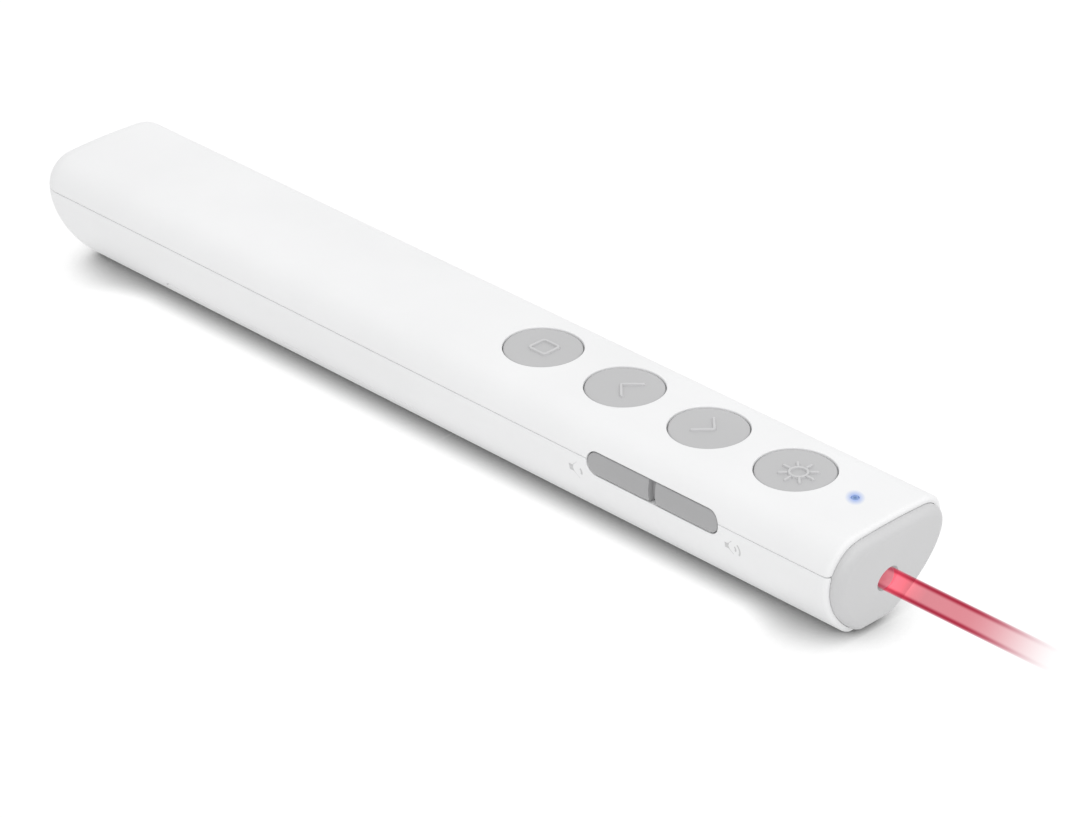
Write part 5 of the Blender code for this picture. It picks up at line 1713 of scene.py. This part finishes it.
class BuildBoardParts(bpy.types.Operator):
    """Chips, crystal, inductor, capacitor and lamp of the circuit board"""
    bl_idname = "presenter.board_parts"
    bl_label = "Board parts"

    def execute(self, context):
        for node, (legs, finish) in CHIPS.items():
            low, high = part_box(node)
            middle = (low + high) / 2
            body = bmesh.new()
            trim = 0.0004 if legs else 0.0
            block(body, (low.x + trim, low.y + trim, low.z),
                  (high.x - trim, high.y - trim, high.z - 0.0001), 0.0001)
            dress(new_piece(node + "_body", body), finish, "case", (node,))
            pins = bmesh.new()
            for index in range(legs):
                x = middle.x + (index - (legs - 1) / 2) * (high.x - low.x - 0.0010) / legs
                for side in (-1, 1):
                    edge = middle.y + side * (high.y - middle.y)
                    path = [(x, edge, high.z - 0.00008),
                            (x, edge - side * 0.0001, high.z - 0.00008),
                            (x, edge - side * 0.00022, low.z + (high.z - low.z) * 0.5),
                            (x, edge - side * 0.0005, low.z + (high.z - low.z) * 0.45)]
                    tube(pins, path, 0.00008, 6)
            if not legs:
                for end in (low.x, high.x - 0.0004):
                    block(pins, (end, low.y, high.z - 0.00035),
                          (end + 0.0004, high.y, high.z), 0.00005, 1)
            dress(new_piece(node + "_pins", pins), "tinned_plate", "case")
        low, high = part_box("indicator_led")
        middle = (low + high) / 2
        shape = bmesh.new()
        block(shape, (low.x + 0.00025, low.y, low.z + 0.0001), (high.x - 0.00025, high.y, high.z),
              0.00006)
        dress(new_piece("lamp_body", shape), "lamp_resin", "case", ("indicator_led",))
        ends = bmesh.new()
        for end in (low.x, high.x - 0.0003):
            block(ends, (end, low.y, low.z), (end + 0.0003, high.y, low.z + 0.0002), 0.00004, 1)
        dress(new_piece("lamp_ends", ends), "tinned_plate", "case")
        for slot in frame["nodes"]["circuit_board"].material_slots:
            slot.material = bpy.data.materials["solder_mask"]
        return {"FINISHED"}


# Finishes of all pieces


class MakeFinishes(bpy.types.Operator):
    """All finishes, and the shader groups that they share"""
    bl_idname = "presenter.finishes"
    bl_label = "Finishes"

    def execute(self, context):
        make_moulded_group()
        make_turned_group()
        make_spot_group()
        case, keys = looks("case"), looks("keys")
        # The white case gets a painted glow round the indicator light: a pale blue tint and a
        # faint blue emission, its spot stretched along the top's diagonal.
        paint_indicator_glow(*moulded("white_case", case.white, 5200.0, 0.40, 0.06, 2.5e-6),
                 (0.0003, 0.0013), 1.45, (0.27, 0.39, 0.70),
                 ((0.0, 0.0, 0.0), (0.0, 0.02, 0.10)))
        # The raised symbol lines are painted paler than the key, a painted highlight on their
        # tops.
        symbol = tuple(min(part * 1.16, 1.0) for part in keys.grey)
        for name, colour, grain, roughness, change, bump in (
                ("grey_key", keys.grey, 4600.0, 0.46, 0.08, 3e-6),
                ("pale_symbol", symbol, 4600.0, 0.34, 0.05, 1e-6),
                ("grey_rocker", keys.rocker_grey, 4600.0, 0.42, 0.08, 3e-6),
                ("grey_cap", keys.cap_grey, 4600.0, 0.40, 0.08, 3e-6),
                ("grey_ink", (0.60, 0.60, 0.605), 6000.0, 0.5, 0.05, 1e-6)):
            moulded(name, colour, grain, roughness, change, bump)
        make_inner_finishes()
        # The clear pin gets a painted glow: a deeper blue painted at its middle and a faint
        # emission.
        paint_indicator_glow(*moulded("clear_pin", (0.32, 0.44, 0.74), 3000.0, 0.18, 0.04, 1e-6),
                 (0.0001, 0.0005), 1.3, (0.07, 0.15, 0.34),
                 ((0.0, 0.01, 0.04), (0.02, 0.04, 0.08)))
        return {"FINISHED"}


def make_inner_finishes():
    """Finishes of the pieces inside the case, in the record's colours."""
    colours = {entry["slot"]: tuple(entry["base_color"]) for entry in
               frame["record"]["materials"]}
    for finish, roughness in (("black_moulding", 0.45), ("nylon", 0.38), ("chip_moulding", 0.55),
                              ("sintered_ferrite", 0.7), ("ochre_moulding", 0.4),
                              ("lamp_resin", 0.2), ("black_lead", 0.42), ("red_lead", 0.42)):
        moulded(finish, colours[FINISH_SLOTS[finish]], 7000.0, roughness, 0.15, 3e-6,
                tint=(0.85, 1.1))
    for finish, roughness, along, rings in (("bright_steel", 0.28, 0.0, 9000.0),
                                            ("turned_brass", 0.26, 0.0, 14000.0),
                                            ("gilt_can", 0.22, 0.0, 9000.0),
                                            ("tinned_plate", 0.35, 1.0, 7000.0)):
        finish_of(finish, colours[FINISH_SLOTS[finish]], "turned_skin",
                  {"Rings": rings, "Roughness": roughness, "Along": along}, bump=1.5e-6,
                  tint=(0.86, 1.06), Metallic=1.0)
    moulded("lens_glass", (0.80, 0.10, 0.09), 2500.0, 0.06, 0.03, 4e-7,
            Coat_Weight=0.6, Coat_Roughness=0.03)
    low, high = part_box("battery_cell")
    tree, shader, base = moulded(
        "cell_print", colours["cell_sleeve"], 3000.0, 0.3, 0.12, 1.5e-6, tint=(0.9, 1.08),
        Coat_Weight=0.25, Coat_Roughness=0.2)
    along = object_parts(tree)["X"]
    band = spread(tree, along, high.x - 0.0102, high.x - 0.0100, 0.0, 1.0)
    ringed = blend_colours(tree, band, base, (0.62, 0.63, 0.65))
    start = spread(tree, along, low.x + 0.0030, low.x + 0.0032, 1.0, 0.0)
    feed(tree, shader.inputs["Base Color"],
         blend_colours(tree, start, ringed, (0.05, 0.05, 0.055)))
    laminate = colours["circuit_laminate"]
    tree, shader, base = moulded("solder_mask", laminate, 2600.0, 0.35, 0.1, 1e-6,
                                 tint=(0.85, 1.15))
    tracks = add(tree, "ShaderNodeTexBrick")
    for title, value in (("Scale", 180.0), ("Mortar Size", 0.035), ("Mortar Smooth", 0.3),
                         ("Brick Width", 0.9), ("Row Height", 0.22),
                         ("Vector", object_place(tree))):
        feed(tree, tracks.inputs[title], value)
    lit = tuple(min(part * 1.7 + 0.01, 1.0) for part in laminate)
    feed(tree, shader.inputs["Base Color"],
         blend_colours(tree, tracks.outputs["Fac"], base, lit))


# Stage


class BuildStage(bpy.types.Operator):
    """Pale floor, soft lamps, the laser's beam and the camera"""
    bl_idname = "presenter.stage"
    bl_label = "Stage"

    def execute(self, context):
        style = looks("stage")
        scene = context.scene
        scene.view_settings.view_transform = "Standard"
        build_world(scene, style)
        build_floor()
        build_beam(style)
        soft_lamp("overhead", style.overhead, 0.9, (0.28, 0.05, 0.70), (0.0, 0.0, 0.0))
        soft_lamp("nose_side", style.nose_side, 0.45, (0.50, -0.44, 0.22), (0.02, 0.0, 0.0))
        place_camera(scene)
        return {"FINISHED"}


def seen_ray(tree):
    """One for rays that come from the camera, a mirror surface or clear stuff."""
    path = add(tree, "ShaderNodeLightPath")
    shiny = reckon(tree, "MAXIMUM", path.outputs["Is Glossy Ray"],
                   path.outputs["Is Transmission Ray"])
    return reckon(tree, "MAXIMUM", path.outputs["Is Camera Ray"], shiny)


def build_world(scene, style):
    """Even light from all round, which the camera and clear or shiny stuff see as white."""
    world = bpy.data.worlds.new("white_room")
    world.use_nodes = True
    tree = world.node_tree
    ground = tree.nodes["Background"]
    ground.inputs["Color"].default_value = (1.0, 1.0, 1.0, 1.0)
    strength = spread(tree, seen_ray(tree), 0.0, 1.0, style.sky, 1.0)
    feed(tree, ground.inputs["Strength"], strength)
    scene.world = world


def bare_material(name):
    """A material with nothing but its output, for lights and the stage."""
    made = bpy.data.materials.new(name)
    made.use_nodes = True
    made.node_tree.nodes.clear()
    end = add(made.node_tree, "ShaderNodeOutputMaterial")
    return made, made.node_tree, end.inputs["Surface"]


def glowing(tree, colour, strength):
    """A surface that gives off light."""
    node = add(tree, "ShaderNodeEmission")
    node.inputs["Color"].default_value = (*colour, 1.0)
    feed(tree, node.inputs["Strength"], strength)
    return node.outputs[0]


def both_of(tree, first, second):
    """Two surfaces added up."""
    node = add(tree, "ShaderNodeAddShader")
    feed(tree, node.inputs[0], first)
    feed(tree, node.inputs[1], second)
    return node.outputs[0]


def build_floor():
    """A wide pale floor that shows white, with a soft shade near the object."""
    shape = bmesh.new()
    corners = [(-3, -3), (3, -3), (3, 3), (-3, 3)]
    shape.faces.new([shape.verts.new((x, y, FLOOR_Z)) for x, y in corners])
    floor = new_piece("pale_floor", shape)
    made, tree, surface = bare_material("pale_paper")
    fibres = add(tree, "ShaderNodeTexNoise")
    feed(tree, fibres.inputs["Scale"], 900.0)
    pale = blend_colours(tree, fibres.outputs["Fac"], (0.93, 0.93, 0.93), (0.95, 0.95, 0.95))
    near = add(tree, "ShaderNodeAmbientOcclusion", samples=12)
    along = reckon(tree, "ABSOLUTE", object_parts(tree)["X"])
    feed(tree, near.inputs["Distance"],
         spread(tree, along, *SHADOW_ENDS, SHADOW_REACH, SHADOW_END_REACH, smooth=True))
    clear_share = spread(tree, near.outputs["AO"], *SHADOW_RANGE, 0.0, 1.0)
    seen = seen_ray(tree)
    paper = add(tree, "ShaderNodeBsdfDiffuse")
    feed(tree, paper.inputs["Color"], blend_colours(tree, seen, pale, FLOOR_SEEN))
    lifted = reckon(tree, "MULTIPLY", clear_share, FLOOR_LIFT)
    lift = glowing(tree, (1.0, 1.0, 1.0), reckon(tree, "MULTIPLY", seen, lifted))
    clear = add(tree, "ShaderNodeBsdfTransparent")
    back = add(tree, "ShaderNodeNewGeometry").outputs["Backfacing"]
    bounced = add(tree, "ShaderNodeLightPath").outputs["Is Diffuse Ray"]
    through = reckon(tree, "MULTIPLY", bounced, FLOOR_OPEN)
    mix = add(tree, "ShaderNodeMixShader")
    feed(tree, mix.inputs[0], reckon(tree, "MAXIMUM", back, through))
    feed(tree, mix.inputs[1], both_of(tree, paper.outputs[0], lift))
    feed(tree, mix.inputs[2], clear.outputs[0])
    feed(tree, surface, mix.outputs[0])
    floor.data.materials.append(made)


def build_beam(style):
    """A faint red shaft of light that leaves the opening and fades."""
    spot = middle_of("laser_barrel")
    start = FACE_X + NOSE_LEAN * (spot.z - MIDDLE_Z) - 0.0004
    shape = bmesh.new()
    lathe(shape, [(BEAM_RADIUS, 0.0), (BEAM_RADIUS, style.beam_length)],
          (start, 0.0, spot.z), X_AXIS, 64)
    ends = [face for face in shape.faces if len(face.verts) > 4]
    bmesh.ops.delete(shape, geom=ends, context="FACES_ONLY")
    beam = new_piece("beam_light", shape)
    beam.data.shade_smooth()
    made, tree, surface = bare_material("beam_glow")
    run = object_parts(tree)["X"]
    fade = spread(tree, run, *(start + share * style.beam_length for share in BEAM_FADE),
                  1.0, 0.0, smooth=True)
    facing = add(tree, "ShaderNodeLayerWeight").outputs["Facing"]
    rim = spread(tree, facing, *BEAM_EDGE, 0.0, 1.0, smooth=True)
    soft = spread(tree, facing, *BEAM_SOFT, 1.0, 0.0)
    across = blend_colours(tree, rim, BEAM_MIDDLE, BEAM_RIM)
    clear = add(tree, "ShaderNodeBsdfTransparent")
    feed(tree, clear.inputs["Color"],
         blend_colours(tree, reckon(tree, "MULTIPLY", fade, soft), (1.0, 1.0, 1.0), across))
    hot = spread(tree, run, *(start + ahead for ahead in BEAM_HOT), BEAM_GLOW, 0.0)
    dimmed = reckon(tree, "MULTIPLY", spread(tree, rim, 0.0, 1.0, 1.0, 0.6), soft)
    glow = glowing(tree, style.beam, reckon(tree, "MULTIPLY", hot, dimmed))
    feed(tree, surface, both_of(tree, clear.outputs[0], glow))
    beam.data.materials.append(made)
    for ray in ("shadow", "diffuse", "glossy"):
        setattr(beam, "visible_" + ray, False)


def soft_lamp(name, power, size, place, aim):
    """A square lamp at a place, turned to a point, that the camera doesn't see."""
    data = bpy.data.lights.new(name, "AREA")
    data.shape = "SQUARE"
    data.size = size
    data.energy = power
    lamp = bpy.data.objects.new(name, data)
    bpy.context.scene.collection.objects.link(lamp)
    lamp.location = place
    away = Vector(place) - Vector(aim)
    lamp.rotation_euler = away.to_track_quat("Z", "Y").to_euler()
    lamp.visible_camera = False


def place_camera(scene):
    """The camera of the main view."""
    azimuth, elevation = math.radians(VIEW_AZIMUTH), math.radians(VIEW_ELEVATION)
    away = Vector((math.sin(azimuth) * math.cos(elevation),
                   -math.cos(azimuth) * math.cos(elevation), math.sin(elevation)))
    data = bpy.data.cameras.new("photo_view")
    data.sensor_width = VIEW_SENSOR
    data.lens = VIEW_LENS
    data.clip_start = 0.01
    data.clip_end = 20.0
    camera = bpy.data.objects.new("photo_view", data)
    scene.collection.objects.link(camera)
    camera.location = Vector(VIEW_TARGET) + away * VIEW_DISTANCE
    camera.rotation_euler = away.to_track_quat("Z", "Y").to_euler()
    scene.camera = camera


class PresenterPanel(bpy.types.Panel):
    """Lists the sizes, the colours and every building step"""
    bl_idname = "PRESENTER_PT_looks"
    bl_label = "Presenter"
    bl_space_type = "VIEW_3D"
    bl_region_type = "UI"
    bl_category = "Presenter"

    def draw(self, context):
        for name in STYLES:
            box = self.layout.box()
            style = getattr(context.scene, "presenter_" + name)
            for title in style.bl_rna.properties.keys():
                if title not in ("rna_type", "name"):
                    box.prop(style, title)
        for step in STEPS:
            self.layout.operator(step.bl_idname)


STYLES = {"case": CaseLooks, "keys": KeyLooks, "stage": StageLooks}
STEPS = (MakeFinishes, BuildCaseTop, BuildCaseBottom, BuildCover, BuildNoseCap, BuildKeys,
         BuildRocker, BuildLight, BuildMarks, BuildCell, BuildSpring, BuildContacts,
         BuildLeads, BuildLaser, BuildScrews, BuildSwitches, BuildBoardParts, BuildStage)


def register():
    for made in (*STYLES.values(), *STEPS, PresenterPanel):
        bpy.utils.register_class(made)
    for name, style in STYLES.items():
        setattr(bpy.types.Scene, "presenter_" + name, bpy.props.PointerProperty(type=style))


def unregister():
    for name in STYLES:
        delattr(bpy.types.Scene, "presenter_" + name)
    for made in (PresenterPanel, *reversed(STEPS), *reversed(list(STYLES.values()))):
        bpy.utils.unregister_class(made)


def main():
    register()
    for name in ("kept_skin", "cut_skin"):
        bpy.data.materials.new(name)
    for step in STEPS:
        group, name = step.bl_idname.split(".")
        getattr(getattr(bpy.ops, group), name)()


if __name__ == "__main__":
    main()
